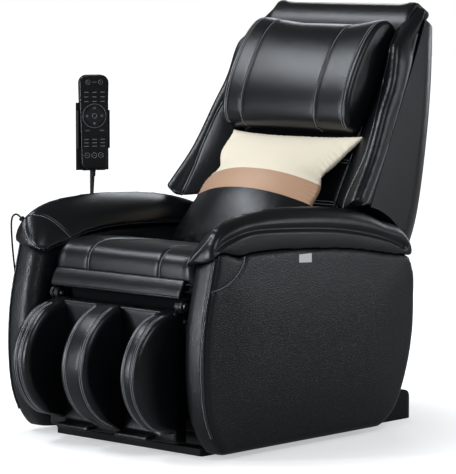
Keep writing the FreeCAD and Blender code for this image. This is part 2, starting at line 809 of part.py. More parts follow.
def control_box():
    """Lidded electronics box on the tray floor with cable glands."""
    x0, x1, y0, y1 = -156, -26, 66, 196
    low = TRAY_WALL
    corners = [(x0, y0, 8), (x1, y0, 8), (x1, y1, 8), (x0, y1, 8)]
    case = prism(rounded(corners, plan_view(low)), Vector(0, 0, 66))
    inset = [(x0 + 2, y0 + 2, 6), (x1 - 2, y0 + 2, 6), (x1 - 2, y1 - 2, 6), (x0 + 2, y1 - 2, 6)]
    step = prism(rounded(inset, plan_view(low + 66)), Vector(0, 0, 2))
    lid = prism(rounded(corners, plan_view(low + 68)), Vector(0, 0, 12))
    glands = [rod(Vector(x, y0, low + 40), Vector(x, y0 - 10, low + 40), 7) for x in (-130, -105, -80, -55)]
    return fused([case, step, lid] + glands)


def air_pump():
    """Pump for the air bags: ribbed housing on four feet with two nozzles."""
    x0, x1, y0, y1 = 34, 154, 46, 206
    low = TRAY_WALL
    housing = box(x0, x1, y0, y1, low + 10, low + 84)
    housing = soften(housing, 12, lambda b: b.ZLength > 70)
    feet = [rod(Vector(x, y, low), Vector(x, y, low + 10), 9)
            for x in (x0 + 18, x1 - 18) for y in (y0 + 18, y1 - 18)]
    nozzles = [rod(Vector(x, y0, low + 50), Vector(x, y0 - 22, low + 50), 6) for x in (76, 112)]
    ribs = [box(x0 + 14, x1 - 14, y0 + 20 + 26 * k, y0 + 26 + 26 * k, low + 84, low + 88) for k in range(5)]
    return fused([housing] + feet + nozzles + ribs)


# Back, built upright in its own frame

def steps(table, at):
    """Value at one place from rows of (place, value), straight between the rows."""
    for (low, first), (high, last) in zip(table, table[1:]):
        if at <= high:
            return first + (last - first) * (at - low) / (high - low)
    return table[-1][1]


def shell_wire(s, inset, front):
    """Outline of the back shell at one height: straight front, two round rear corners."""
    half = steps(SHELL_HALF, s) - inset
    rear = steps(SHELL_REAR, s) - inset
    corner = min(90.0, 0.8 * (rear - SHELL_FRONT_D)) - inset / 2
    return rounded([
        (-half, front, 0),
        (half, front, 0),
        (half, rear, corner),
        (-half, rear, corner),
    ], plan_view(s))


def sweep_cut(radius, inner):
    """Space outside one X that the arms take: inside a sweep radius, and over the pads at rest."""
    cutter = across(0, 0, inner, ARM_OUTER + 60, radius)
    over_pad = box(inner, ARM_OUTER + 60, -250, -26, -100, radius + 8)
    over_pad.rotate(Vector(0, 0, 0), X_AXIS, LEAN)
    cutter = cutter.fuse(over_pad)
    return cutter.fuse(mirrored(cutter))


def back_shell():
    """Hollow moulded shell, narrowed between the arms below its sweep radius."""
    levels = [row[0] for row in SHELL_REAR]
    outer = loft([shell_wire(s, 0, SHELL_FRONT_D) for s in levels])
    outer = outer.cut(sweep_cut(SWEEP_R, BETWEEN_ARMS))
    wall = SHELL_WALL
    inner = loft([shell_wire(s, wall, SHELL_FRONT_D - 5) for s in levels])
    inner = inner.cut(sweep_cut(SWEEP_R + wall, BETWEEN_ARMS - wall))
    low, top = levels[0], levels[-1]
    inner = inner.cut(box(-400, 400, 12, 400, low - 1, low + wall))
    inner = inner.cut(box(-400, 400, -100, 400, top - wall, top + 1))
    shell = outer.cut(inner)
    slots = [box(-70, 70, 60, 260, 300 + 16 * k, 306 + 16 * k) for k in range(5)]
    return shell.cut(slots)


def wing_wire(s):
    """Outline of the left wing at one height: flank, nose, outer side and flat back."""
    half = steps(WING_HALF, s)
    side = steps(SHELL_HALF, s)
    nose = steps(WING_NOSE, s)
    root = PAD_HALF + 3
    start = PAD_FRONT_D - 2
    tip = half - 38
    return chain((root, start), [
        ((root + tip) / 2 - 3, (start + nose + 6) / 2 - 5, tip, nose + 6),
        (half - 18, nose, half - 6, nose + 20),
        ((half + side) / 2 + 1, (nose + 20 + SHELL_FRONT_D) / 2, side, SHELL_FRONT_D),
        (root, SHELL_FRONT_D),
    ], plan_view(s))


def wing(cap):
    """Padded side wing that wraps the sitter's shoulder."""
    levels = (90, 150, 204, 283, 391, 471, 543, 645, 700, 728, 742)
    body = loft([wing_wire(s) for s in levels])
    body = body.cut(sweep_cut(SWEEP_R, BETWEEN_ARMS)).cut(cap)
    return max(body.Solids, key=lambda solid: solid.Volume)


def back_pad():
    """Flat padded panel between the wings with drawn-in seams."""
    pad = box(-PAD_HALF, PAD_HALF, PAD_FRONT_D, PAD_FRONT_D + PAD_THICK, PAD_LOW_S, PAD_TOP_S)
    front = PAD_FRONT_D
    pad = soften(pad, 12, lambda b: b.YMax < front + 1)
    for s in (210, 330, 450, 570):
        pad = pad.cut(box(-PAD_HALF - 1, PAD_HALF + 1, front - 1, front + 4, s - 2, s + 2))
    return pad


def top_cap():
    """Padded roll over the top edge of the back, with two round ends."""
    front = PAD_FRONT_D - 7
    low = PAD_TOP_S + 2
    ledge = SHELL_REAR[-1][0]
    profile = chain((front, low), [
        (SHELL_FRONT_D, low),
        (SHELL_FRONT_D, ledge),
        (CAP_REAR_D, ledge),
        (CAP_REAR_D, CAP_TOP_S - 22),
        (CAP_REAR_D - 6, CAP_TOP_S - 6, CAP_REAR_D - 22, CAP_TOP_S),
        (front + 24, CAP_TOP_S),
        (front + 7, CAP_TOP_S - 7, front, CAP_TOP_S - 24),
    ], side_view(-CAP_HALF))
    cap = prism(profile, Vector(2 * CAP_HALF, 0, 0))
    outline = prism(rounded([
        (-CAP_HALF, low - 1, 0),
        (CAP_HALF, low - 1, 0),
        (CAP_HALF, CAP_TOP_S, CAP_CORNER),
        (-CAP_HALF, CAP_TOP_S, CAP_CORNER),
    ], front_view(front - 1)), Vector(0, CAP_REAR_D - front + 2, 0))
    return cap.common(outline)


def head_pillow_wire(x, back, thick, tall):
    """Side outline of the head pillow at one X, with its depth and its height scaled."""
    middle = 548.0

    def spot(depth, height):
        return back + (depth - PAD_FRONT_D) * thick, middle + (height - middle) * tall

    return chain(spot(PAD_FRONT_D, 412), [
        (*spot(-142, 396), *spot(-186, 438)),
        (*spot(-190, 520), *spot(-152, 618)),
        (*spot(-120, 670), *spot(PAD_FRONT_D, 698)),
    ], side_view(x))


def head_pillow(left_wing):
    """Deep head pillow that bulges forward and narrows at both ends."""
    flat = PAD_FRONT_D - SOFT_GAP
    stations = [(-PILLOW_HALF, -136, 0.16, 0.62), (-PILLOW_HALF + 9, -122, 0.42, 0.82),
                (-PILLOW_HALF + 36, -90, 0.88, 0.96), (-PILLOW_HALF + 90, flat, 1.0, 1.0), (0, flat, 1.0, 1.0)]
    stations += [(-x, back, thick, tall) for x, back, thick, tall in stations[-2::-1]]
    pillow = loft([head_pillow_wire(*station) for station in stations])
    for x in PILLOW_SEAMS:
        groove = box(x - 1.5, x + 1.5, -260, -140, 380, 720)
        core = prism(head_pillow_wire(x - 3, flat, 0.955, 0.975), Vector(6, 0, 0))
        pillow = pillow.cut(groove.cut(core))
    pillow = pillow.cut(box(-PILLOW_HALF, PILLOW_HALF, flat, flat + 60, 300, 780))
    pillow = pillow.cut(both_sides(left_wing))
    return max(pillow.Solids, key=lambda solid: solid.Volume)


def throw_pillow_wire(v, half, thick):
    """Lens outline of the loose pillow at one height: two bowed faces and thin ends."""
    edge = 6.0
    return chain((-half, -edge), [
        (0, -thick / 2, half, -edge),
        (half, edge),
        (0, thick / 2, -half, edge),
    ], plan_view(v))


def throw_pillow(left_wing):
    """Loose square pillow with drawn-in sides, leaned on the back and resting on the seat."""
    stations = ((-206, 222, 16), (-192, 216, 44), (-150, 208, 80), (-80, 202, 110), (0, 200, 120),
                (80, 204, 110), (150, 213, 80), (192, 225, 44), (206, 232, 16))
    pillow = loft([throw_pillow_wire(*station) for station in stations])
    pillow.rotate(Vector(0, 0, 0), X_AXIS, -PILLOW_TILT)
    pillow.translate(Vector(0, -150, 186))
    pillow = pillow.cut(box(-300, 300, PAD_FRONT_D - SOFT_GAP, 100, -60, 500))
    pillow = on_back(pillow.cut(both_sides(left_wing)))
    seat = seat_cushion_core(0.8)
    return max(pillow.cut(seat).Solids, key=lambda solid: solid.Volume)


def back_frame():
    """Welded back frame on a torsion tube, with the crank of the recline drive."""
    half = 215.0
    pieces = [across(0, 0, -half, half, 14)]
    rear = -10.0
    front = PAD_FRONT_D + PAD_THICK + FACE_GAP
    for x in (-195, 195):
        pieces.append(box(x - 10, x + 10, front, rear, 0, 720))
        gusset = link_plate((0, 0), ((front + rear) / 2, 40), 14, 14, x - 8, x + 8)
        pieces.append(gusset)
    low_half = BETWEEN_ARMS - SHELL_WALL
    top_half = steps(SHELL_HALF, 712) - SHELL_WALL
    pieces.append(box(-low_half, low_half, front, rear, 142, 162))
    pieces.append(box(-195, 195, front, rear, 615, 635))
    pieces.append(box(-top_half, top_half, front, rear, 692, 712))
    frame = on_back(fused(pieces))
    frame = fused([frame] + crank(RECLINE_X, (PIVOT_Y, PIVOT_Z), 18, RECLINE_PIN))
    return frame.cut(across(PIVOT_Y, PIVOT_Z, -half - 20, half + 20, PIVOT_PIN_R + RUN_GAP))


# Massage mechanism in the back

def pitch():
    """Distance between two rack teeth."""
    return math.pi * RACK_MODULE


def pinion_radius():
    """Pitch radius of the carriage's two pinions."""
    return RACK_MODULE * PINION_TEETH / 2


def rack():
    """Rack with straight 20 degree flanks on the rear of one guide rail."""
    addendum = TOOTH_REACH * RACK_MODULE
    dedendum = addendum + 0.5
    slope = math.tan(math.radians(20))
    half = (pitch() / 2 - TOOTH_SLACK) / 2
    count = 3 + math.ceil(CARRIAGE_TRAVEL / pitch()) + 4
    first = DRIVE_S - 4 * pitch()
    base = RACK_LINE_D - dedendum
    tip = RACK_LINE_D + addendum
    points = [(RAIL_D[1], first - pitch() / 2), (base, first - pitch() / 2)]
    for k in range(count):
        middle = first + k * pitch()
        points.append((base, middle - half - dedendum * slope))
        points.append((tip, middle - half + addendum * slope))
        points.append((tip, middle + half - addendum * slope))
        points.append((base, middle + half + dedendum * slope))
    last = first + (count - 0.5) * pitch()
    points += [(base, last), (RAIL_D[1], last)]
    outline = chain(points[0], points[1:], side_view(RACK_X[0]))
    return prism(outline, Vector(RACK_X[1] - RACK_X[0], 0, 0))


def guide_rails():
    """Two channels with racks, fixed to the cross tubes of the back frame."""
    web_x = RAIL_IN_X + 10
    front, rear = RAIL_D
    channel = box(web_x, web_x + 3, front, rear, RAIL_LOW_S, RAIL_TOP_S)
    lips = [box(RAIL_IN_X - 10, web_x, d, d + 3, RAIL_LOW_S, RAIL_TOP_S) for d in (front, rear - 3)]
    rail = fused([channel] + lips + [rack()])
    return both_sides(rail)


def involute(radius, base):
    """Polar angle of the involute at one radius."""
    roll = math.sqrt((radius / base) ** 2 - 1)
    return roll - math.atan(roll)


def pinion(x0, x1):
    """Spur pinion with involute flanks and a tooth gap that faces the rack."""
    radius = pinion_radius()
    base = radius * math.cos(math.radians(20))
    tip = radius + TOOTH_REACH * RACK_MODULE
    root = radius - TOOTH_REACH * RACK_MODULE - 0.5
    half = (pitch() / 2 - TOOTH_SLACK) / 2 / radius + involute(radius, base)
    levels = [base + (tip - base) * k / 4 for k in range(5)]
    points = []
    for tooth in range(PINION_TEETH):
        middle = math.radians(270) + (tooth + 0.5) * 2 * math.pi / PINION_TEETH
        flank = [(root, half)] + [(level, half - involute(level, base)) for level in levels]
        for level, angle in flank:
            points.append((level, middle - angle))
        for level, angle in reversed(flank):
            points.append((level, middle + angle))
    spots = [(DRIVE_D + level * math.sin(turn), DRIVE_S + level * math.cos(turn)) for level, turn in points]
    outline = chain(spots[0], spots[1:], side_view(x0))
    return prism(outline, Vector(x1 - x0, 0, 0))


def drive_shaft():
    """Cross shaft with the two pinions that climb the racks."""
    shaft = across(DRIVE_D, DRIVE_S, -RACK_X[1], RACK_X[1], DRIVE_SHAFT_R)
    x0 = (RACK_X[0] + RACK_X[1] - PINION_WIDTH) / 2
    gear = pinion(x0, x0 + PINION_WIDTH)
    worm_wheel = across(DRIVE_D, DRIVE_S, -20, -8, 13)
    return fused([shaft, worm_wheel, gear, mirrored(gear)])


def carriage_frame():
    """Two side plates, a rear plate and the fixed shaft that the massage arms rock on."""
    s = CARRIAGE_S
    outline = rounded([
        (-8, s - 75, 8),
        (60, s - 75, 14),
        (60, s + 75, 14),
        (-8, s + 75, 8),
    ], side_view(CARRIAGE_X[0]))
    plate = prism(outline, Vector(CARRIAGE_X[1] - CARRIAGE_X[0], 0, 0))
    plate = plate.cut(across(DRIVE_D, DRIVE_S, 100, 150, DRIVE_SHAFT_R + RUN_GAP))
    inner = CARRIAGE_X[0]
    rear = box(-inner, inner, 57, 60, s - 60, s + 60)
    for x in (-90, 90):
        rear = rear.cut(rod(Vector(x, 50, s), Vector(x, 70, s), 22))
    shaft = across(KNEAD_D, s, -inner, inner, KNEAD_SHAFT_R)
    bosses = []
    for x in (-inner, inner - 10):
        bosses.append(across(KNEAD_D, s, x, x + 10, 12))
    return fused([plate, mirrored(plate), rear, shaft] + bosses)


def guide_shoes():
    """Four plastic shoes that run in the channels."""
    front, rear = RAIL_D
    shoes = []
    for s in (CARRIAGE_S - 58, CARRIAGE_S + 58):
        low = front + 3 + RUN_GAP
        high = rear - 3 - RUN_GAP
        shoe = box(RAIL_IN_X - 9, RAIL_IN_X + 10 - RUN_GAP, low, high, s - 14, s + 14)
        middle = (low + high) / 2
        boss = rod(Vector(CARRIAGE_X[1], middle, s), Vector(RAIL_IN_X - 9, middle, s), 7)
        shoes += both_sides(shoe.fuse(boss))
    return shoes


def carriage_motor():
    """Worm gearbox and its motor on the rear plate."""
    s = CARRIAGE_S
    case = box(-48, 48, 60, 86, s - 72, s - 15)
    case = soften(case, 5, lambda b: b.YLength > 25)
    motor = rod(Vector(30, 76, s - 72), Vector(30, 76, s - 116), 18)
    cap = rod(Vector(30, 76, s - 116), Vector(30, 76, s - 122), 11)
    return fused([case, motor, cap])


def massage_arm(x0, x1):
    """Rocker plate with two stub axles, for X inside to X outside."""
    s = CARRIAGE_S
    plates = []
    for side in (-1, 1):
        plates.append(link_plate((KNEAD_D, s), (ROLLER_D, s + side * ROLLER_SPREAD), 18, 13, x0, x1))
    stubs = []
    outward = 1 if x0 > 0 else -1
    start = x1 if outward > 0 else x0
    for side in (-1, 1):
        place = (ROLLER_D, s + side * ROLLER_SPREAD)
        near, far = sorted((start, start + outward * (ROLLER_W + 12)))
        stubs.append(across(*place, near, far, ROLLER_AXLE_R))
        near, far = sorted((start, start + outward * 4))
        stubs.append(across(*place, near, far, 10))
        near, far = sorted((start + outward * (ROLLER_W + 6), start + outward * (ROLLER_W + 10)))
        stubs.append(across(*place, near, far, 10))
    hub_near, hub_far = sorted((start, start + outward * 14))
    hub = across(KNEAD_D, s, hub_near, hub_far, 14)
    whole = fused(plates + stubs + [hub])
    return whole.cut(across(KNEAD_D, s, -200, 200, KNEAD_SHAFT_R + RUN_GAP))


def massage_roller(x, side):
    """Barrel-shaped massage roller on one stub axle."""
    s = CARRIAGE_S + side * ROLLER_SPREAD
    half = ROLLER_W / 2
    bore = ROLLER_AXLE_R + RUN_GAP
    section = chain((x - half, s + bore), [
        (x + half, s + bore),
        (x + half, s + ROLLER_R - 9),
        (x, s + ROLLER_R, x - half, s + ROLLER_R - 9),
    ], front_view(ROLLER_D))
    return Part.Face(section).revolve(Vector(x, ROLLER_D, s), X_AXIS, 360)


# Leg rest

def leg_frame():
    """Steel back plate of the leg rest with its hinge lugs and crank."""
    y, z = LEG_HINGE
    rear = LEG_BOX_REAR
    front = rear - LEG_PLATE
    half = LEG_HALF - 20
    plate = box(-half, half, front, rear, LEG_BOX_LOW + 20, LEG_BOX_TOP - 12)
    for sign in (-1, 1):
        x = sign * 120
        plate = plate.cut(box(x - 45, x + 45, front - 1, rear + 1, 90, 260))
    x = LEG_DRIVE_X
    plate = plate.cut(box(x - 5.8, x + 5.8, front - 1, rear + 1, 300, LEG_BOX_TOP))
    pieces = [plate]
    for sign in (-1, 1):
        x0, x1 = sorted((sign * LUG_X[0], sign * LUG_X[1]))
        pieces.append(across(y, z, x0, x1, 14))
        pieces.append(box(x0, x1, y - 8, rear, z - 34, z))
    for side in (-1, 1):
        x0, x1 = sorted((x + side * (EYE_THICK / 2 + 1), x + side * (EYE_THICK / 2 + 6)))
        pieces.append(ear(*LEG_PIN, x0, x1, rear - LEG_PIN[0] - 1, 10))
    pieces.append(across(*LEG_PIN, x - 13, x + 13, CRANK_PIN_R))
    frame = fused(pieces)
    return frame.cut(across(y, z, -LEG_HALF, LEG_HALF, HINGE_PIN_R + RUN_GAP))


def leg_shell():
    """Padded box behind the calf channels, recessed for the steel frame and the drive."""
    y, z = LEG_HINGE
    shell = box(-LEG_HALF, LEG_HALF, LEG_BOX_FRONT, LEG_BOX_REAR - LEG_PLATE, LEG_BOX_LOW, LEG_BOX_TOP)
    shell = soften(shell, 7, lambda b: b.YMax < LEG_BOX_FRONT + 1 and b.XLength > 100)
    for sign in (-1, 1):
        x0, x1 = sorted((sign * (LUG_X[0] - 4), sign * (LEG_HALF + 1)))
        shell = shell.cut(box(x0, x1, y - 17, LEG_BOX_REAR, z - 40, z))
    x = LEG_DRIVE_X
    return shell.cut(box(x - 18, x + 18, LEG_BOX_REAR - 22, LEG_BOX_REAR, 296, LEG_BOX_TOP + 1))


def leg_fin(x0, x1):
    """Curved upholstered fin beside a calf channel."""
    outline = chain((LEG_BOX_FRONT, 362), [
        (FIN_NOSE + 44, 312, FIN_NOSE, 215),
        (FIN_NOSE + 25, 123, -462, 62),
        (LEG_BOX_FRONT, 40),
    ], side_view(0))
    fin = prism(outline, Vector(x1 - x0, 0, 0))
    fin = soften(fin, 12, lambda b: b.XLength < 1 and b.YMin < LEG_BOX_FRONT - 9)
    fin.translate(Vector(x0, 0, 0))
    return fin


def foot_plates():
    """Padded foot ends of the two calf channels."""
    inner = FIN_MID_WIDTH / 2 + SOFT_GAP
    outer = LEG_HALF - FIN_SIDE_WIDTH - SOFT_GAP
    plate = box(inner, outer, -466, LEG_BOX_FRONT, 36, 50)
    plate = soften(plate, 6, lambda b: b.YMax < -465 and b.XLength > outer - inner - 1)
    return both_sides(plate)


# Handset, its holder and its cord

def on_hand(shape):
    """Turn and place a shape that was built facing -Y about the handset's middle."""
    placed = shape.copy()
    placed.rotate(Vector(0, 0, 0), Z_AXIS, HAND_TURN)
    placed.translate(Vector(*HAND_AT))
    return placed


def hand_outline(pull):
    """Handset outline seen from the front: wider at the top, all corners round."""
    half = HAND_W / 2 - pull
    top = HAND_L / 2 - pull
    return [(-half, top, 22 - pull), (half, top, 22 - pull), (half - 6, -top, 18 - pull), (-half + 6, -top, 18 - pull)]


def handset_back():
    """Rear half of the handset, hollowed for its circuit board."""
    body = prism(rounded(hand_outline(0), front_view(HAND_SEAM)), Vector(0, HAND_T / 2 - HAND_SEAM, 0))
    body = soften(body, 5, lambda b: b.YMin > HAND_T / 2 - 0.5)
    hollow = prism(rounded(hand_outline(4), front_view(HAND_SEAM)), Vector(0, HAND_T / 2 - HAND_SEAM - 3, 0))
    return on_hand(body.cut(hollow))


def key_outlines():
    """Each key's name, and its outline at one clearance."""
    def disc(x, z, radius):
        return lambda gap: Part.Wire(Part.makeCircle(radius + gap, Vector(x, 0, z), Y_AXIS))

    def diamond(z, reach, corner):
        def outline(gap):
            grown = reach + gap * math.sqrt(2)
            corners = [(0, z + grown), (grown, z), (0, z - grown), (-grown, z)]
            return rounded([(a, b, corner + gap) for a, b in corners], front_view(0))
        return outline

    def lozenge(x, z, half_x, half_z):
        def outline(gap):
            wide, tall = half_x + gap, half_z + gap
            corners = [(x - wide, z - tall), (x + wide, z - tall), (x + wide, z + tall), (x - wide, z + tall)]
            return rounded([(a, b, tall - 0.02) for a, b in corners], front_view(0))
        return outline

    return {
        "power_key": disc(-17, 104.6, 5),
        "timer_key": disc(17, 104.6, 5),
        "direction_pad": diamond(16, 32, 6),
        "left_oval_key": lozenge(-20, -22.5, 10.2, 4.7),
        "right_oval_key": lozenge(20, -22.5, 10.2, 4.7),
        "stop_key": disc(0, 16, 10),
    }


def key_solid(outline, front, back):
    """Prism of one key outline between two depths."""
    wire = outline.copy()
    wire.translate(Vector(0, front, 0))
    return prism(wire, Vector(0, back - front, 0))


def handset_keys():
    """All keys. The stop key sits in the middle of the direction pad."""
    front = -HAND_T / 2 - KEY_PROUD
    back = -HAND_T / 2 + 3
    outlines = key_outlines()
    keys = {name: key_solid(outline(0), front, back) for name, outline in outlines.items()}
    keys["direction_pad"] = keys["direction_pad"].cut(key_solid(outlines["stop_key"](KEY_GAP), front - 1, back + 1))
    return {name: on_hand(key) for name, key in keys.items()}


def handset_face():
    """Front half of the handset with a well under each key."""
    front = -HAND_T / 2
    body = prism(rounded(hand_outline(0), front_view(front)), Vector(0, HAND_SEAM - front, 0))
    body = soften(body, 3, lambda b: b.YMax < front + 0.5)
    for name, outline in key_outlines().items():
        if name != "stop_key":
            body = body.cut(key_solid(outline(KEY_GAP), front - 1, front + 4.2))
    return on_hand(body)


def handset_gland():
    """Ribbed strain relief under the handset."""
    top = -HAND_L / 2
    sleeve = rod(Vector(0, 0, top), Vector(0, 0, top - 20), 4.4)
    ribs = [rod(Vector(0, 0, top - 4 * k), Vector(0, 0, top - 4 * k - 2.4), 6.4 - 0.3 * k) for k in range(5)]
    return on_hand(fused([sleeve] + ribs))


def turned_route(points, bends):
    """Wire of straight runs joined by tangent arcs of the given radii."""
    spots = [Vector(*point) for point in points]
    edges = []
    here = spots[0]
    for index, radius in enumerate(bends, start=1):
        before = (spots[index - 1] - spots[index]).normalize()
        after = (spots[index + 1] - spots[index]).normalize()
        half = before.getAngle(after) / 2
        reach = radius / math.tan(half)
        start = spots[index] + before * reach
        end = spots[index] + after * reach
        inward = (before + after).normalize()
        middle = spots[index] + inward * (radius / math.sin(half) - radius)
        edges.append(Part.makeLine(here, start))
        edges.append(Part.Arc(start, middle, end).toShape())
        here = end
    edges.append(Part.makeLine(here, spots[-1]))
    return Part.Wire(edges)


def swept(route, radius):
    """Round bar along a wire."""
    first = route.Edges[0]
    start = first.Vertexes[0].Point
    along = first.Vertexes[1].Point - start
    ring = Part.Wire(Part.makeCircle(radius, start, along))
    return route.makePipeShell([ring], True, True)


def free_bends(points):
    """Bend radius at each inner point: 0.45 of the shorter run over the tangent of half the turn."""
    spots = [Vector(*point) for point in points]
    radii = []
    for before, here, after in zip(spots, spots[1:], spots[2:]):
        run_in, run_out = here - before, after - here
        turn = run_in.getAngle(run_out)
        radii.append(0.45 * min(run_in.Length, run_out.Length) / math.tan(turn / 2))
    return radii


def handset_holder():
    """Bent bar from the arm with a cradle plate, side lips and a notched ledge."""
    bar_y = HAND_T / 2 + 9.25
    turn = math.radians(HAND_TURN)
    bar_x_world = HAND_AT[0] - bar_y * math.sin(turn)
    bar_y_world = HAND_AT[1] + bar_y * math.cos(turn)
    foot_z = 400.0
    top_z = HAND_Z + 65
    points = [
        (-ARM_OUTER - 2, bar_y_world, foot_z),
        (bar_x_world, bar_y_world, foot_z),
        (bar_x_world, bar_y_world, top_z),
    ]
    bar = swept(turned_route(points, [25]), 5)
    foot = prism(rounded([
        (bar_y_world - 24, foot_z - 34, 8),
        (bar_y_world + 24, foot_z - 34, 8),
        (bar_y_world + 24, foot_z + 34, 8),
        (bar_y_world - 24, foot_z + 34, 8),
    ], side_view(-ARM_OUTER - 4)), Vector(4, 0, 0))
    screws = [rod(Vector(-ARM_OUTER - 4, bar_y_world, z), Vector(-ARM_OUTER - 6.5, bar_y_world, z), 5)
              for z in (foot_z - 24, foot_z + 24)]
    back = HAND_T / 2 + FACE_GAP
    low = -HAND_L / 2 - FACE_GAP
    plate = box(-44, 44, back, back + 4, low - 4, 50)
    lips = [box(x, x + 3.4, -4, back + 4, -70, 30) for x in (-43.7, 40.3)]
    ledge = box(-30, 30, -6, back + 4, low - 4, low)
    ledge = ledge.cut(box(-8, 8, -7, 8, low - 5, low + 1))
    cradle = on_hand(fused([plate, ledge] + lips))
    return fused([bar, foot, cradle] + screws)


def cord_grommet():
    """Rubber sleeve in the front end of the right arm pad, where the handset cord goes in."""
    outward = Vector(*GROMMET_WAY).normalize()
    mouth = Vector(*GROMMET_MOUTH)
    sleeve = rod(mouth - outward * 14, mouth, 5.5)
    rim = rod(mouth - outward * 3.5, mouth, 7.5)
    return fused([sleeve, rim])


def handset_cord():
    """Limp cord from the handset's gland to the grommet."""
    radii = free_bends(CORD_POINTS)
    route = turned_route(CORD_POINTS, radii)
    cord = swept(route, CORD_D / 2)
    section = math.pi * CORD_D ** 2 / 4
    print("cord bends", [round(radius, 1) for radius in radii])
    print("cord length", round(route.Length, 1), "volume", round(cord.Volume), round(section * route.Length))
    return cord


# Writing the pieces

def write_base():
    """Fixed pieces: tray, frames, seat, covers and electrics."""
    save("base_tray", [base_tray()])
    save("right_wheel", [transport_wheel(-WHEEL_X)])
    save("left_wheel", [transport_wheel(WHEEL_X)])
    save("base_frame", [base_frame()])
    save("seat_frame", [seat_frame()])
    save("axle_pins", pivot_pins() + [wheel_axle(x) for x in (-WHEEL_X, WHEEL_X)])
    save("seat_pan", [seat_pan()])
    save("seat_cushion", [seat_cushion()])
    save("seat_flap", [seat_flap()])
    save("rear_cover", [rear_cover()])
    save("power_inlet", [power_inlet()])
    save("power_switch", [power_switch()])
    save("control_box", [control_box()])
    save("air_pump", [air_pump()])
    save("recline_actuator", [actuator(RECLINE_X, RECLINE_Z, RECLINE_NOSE, -1)])
    save("leg_actuator", [actuator(LEG_DRIVE_X, LEG_DRIVE_Z, LEG_NOSE, 1)])
    save("recline_rod", [actuator_rod(RECLINE_X, RECLINE_Z, RECLINE_PIN[0], -1, RECLINE_STROKE, RECLINE_PLAY)])
    save("leg_rod", [actuator_rod(LEG_DRIVE_X, LEG_DRIVE_Z, LEG_PIN[0], 1, LEG_STROKE, LEG_PLAY)])


def write_arms():
    """Both arms. The right one holds the cord grommet, the left one the care tag."""
    pad, above = arm_pad()
    panel = arm_panel(pad, above)
    grommet = cord_grommet()
    save("left_arm_pad", [pad])
    save("left_arm_panel", [panel])
    save("right_arm_pad", [mirrored(pad).cut(grommet)])
    save("right_arm_panel", [mirrored(panel)])
    save("cord_grommet", [grommet])
    save("arm_bolts", arm_bolts())
    save("care_tag", [care_tag()])


def write_back():
    """Everything that leans with the back."""
    cap = top_cap()
    left = wing(cap)
    shell = on_back(back_shell())
    save("back_frame", [back_frame().cut(shell)])
    save("top_cap", [on_back(cap)])
    save("left_wing", [on_back(left)])
    save("right_wing", [on_back(mirrored(left))])
    save("back_shell", [shell])
    save("back_pad", [on_back(back_pad())])
    save("head_pillow", [on_back(head_pillow(left))])
    save("throw_pillow", [throw_pillow(left)])
    save("guide_rails", [on_back(rail) for rail in guide_rails()])
    save("drive_shaft", [on_back(drive_shaft())])
    save("carriage_frame", [on_back(solid) for solid in [carriage_frame()] + guide_shoes()])
    save("carriage_motor", [on_back(carriage_motor())])
    save("left_massage_arm", [on_back(massage_arm(ARM_X[0], ARM_X[1]))])
    save("right_massage_arm", [on_back(massage_arm(-ARM_X[1], -ARM_X[0]))])
    for name, x in (("left", ROLLER_X), ("right", -ROLLER_X)):
        save(f"{name}_upper_roller", [on_back(massage_roller(x, 1))])
        save(f"{name}_lower_roller", [on_back(massage_roller(x, -1))])


def write_leg_rest():
    """The lifting leg rest."""
    inner = LEG_HALF - FIN_SIDE_WIDTH
    save("leg_frame", [leg_frame()])
    save("leg_shell", [leg_shell()] + foot_plates())
    save("middle_fin", [leg_fin(-FIN_MID_WIDTH / 2, FIN_MID_WIDTH / 2)])
    save("left_fin", [leg_fin(inner, LEG_HALF)])
    save("right_fin", [leg_fin(-LEG_HALF, -inner)])


def write_handset():
    """Handset, its keys, holder and cord."""
    save("handset_back", [handset_back()])
    save("handset_face", [handset_face()])
    save("handset_gland", [handset_gland()])
    for name, key in handset_keys().items():
        save(name, [key])
    save("handset_holder", [handset_holder()])
    save("handset_cord", [handset_cord()])


os.makedirs("parts", exist_ok=True)
write_base()
write_arms()
write_back()
write_leg_rest()
write_handset()
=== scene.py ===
import json
import logging
import math
from dataclasses import dataclass, field
from enum import Enum
from typing import Callable, Iterable, Optional, Sequence

import bmesh
import bpy
import numpy as np
from mathutils import Matrix, Vector
from mathutils.bvhtree import BVHTree
from mathutils.kdtree import KDTree


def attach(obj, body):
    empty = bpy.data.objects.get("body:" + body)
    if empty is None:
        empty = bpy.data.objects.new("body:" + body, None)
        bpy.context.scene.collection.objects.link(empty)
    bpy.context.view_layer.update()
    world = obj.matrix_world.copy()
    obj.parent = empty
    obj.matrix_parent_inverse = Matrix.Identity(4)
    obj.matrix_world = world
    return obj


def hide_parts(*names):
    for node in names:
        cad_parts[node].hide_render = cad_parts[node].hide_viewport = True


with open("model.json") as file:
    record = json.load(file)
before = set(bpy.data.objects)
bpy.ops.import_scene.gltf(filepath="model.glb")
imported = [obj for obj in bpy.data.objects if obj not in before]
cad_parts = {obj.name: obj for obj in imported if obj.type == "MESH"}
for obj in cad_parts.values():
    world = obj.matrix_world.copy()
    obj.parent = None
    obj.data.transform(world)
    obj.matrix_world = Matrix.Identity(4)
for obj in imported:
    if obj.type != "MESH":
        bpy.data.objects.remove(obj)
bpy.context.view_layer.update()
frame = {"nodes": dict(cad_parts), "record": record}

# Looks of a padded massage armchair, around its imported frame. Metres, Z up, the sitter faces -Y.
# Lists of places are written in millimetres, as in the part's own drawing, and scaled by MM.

log = logging.getLogger("massage_chair")

MM = 0.001

# How far the back leans from upright at rest, and a point on the axle that it turns about.
LEAN = math.radians(29.3)
PIVOT = Vector((0, 0.150, 0.360))

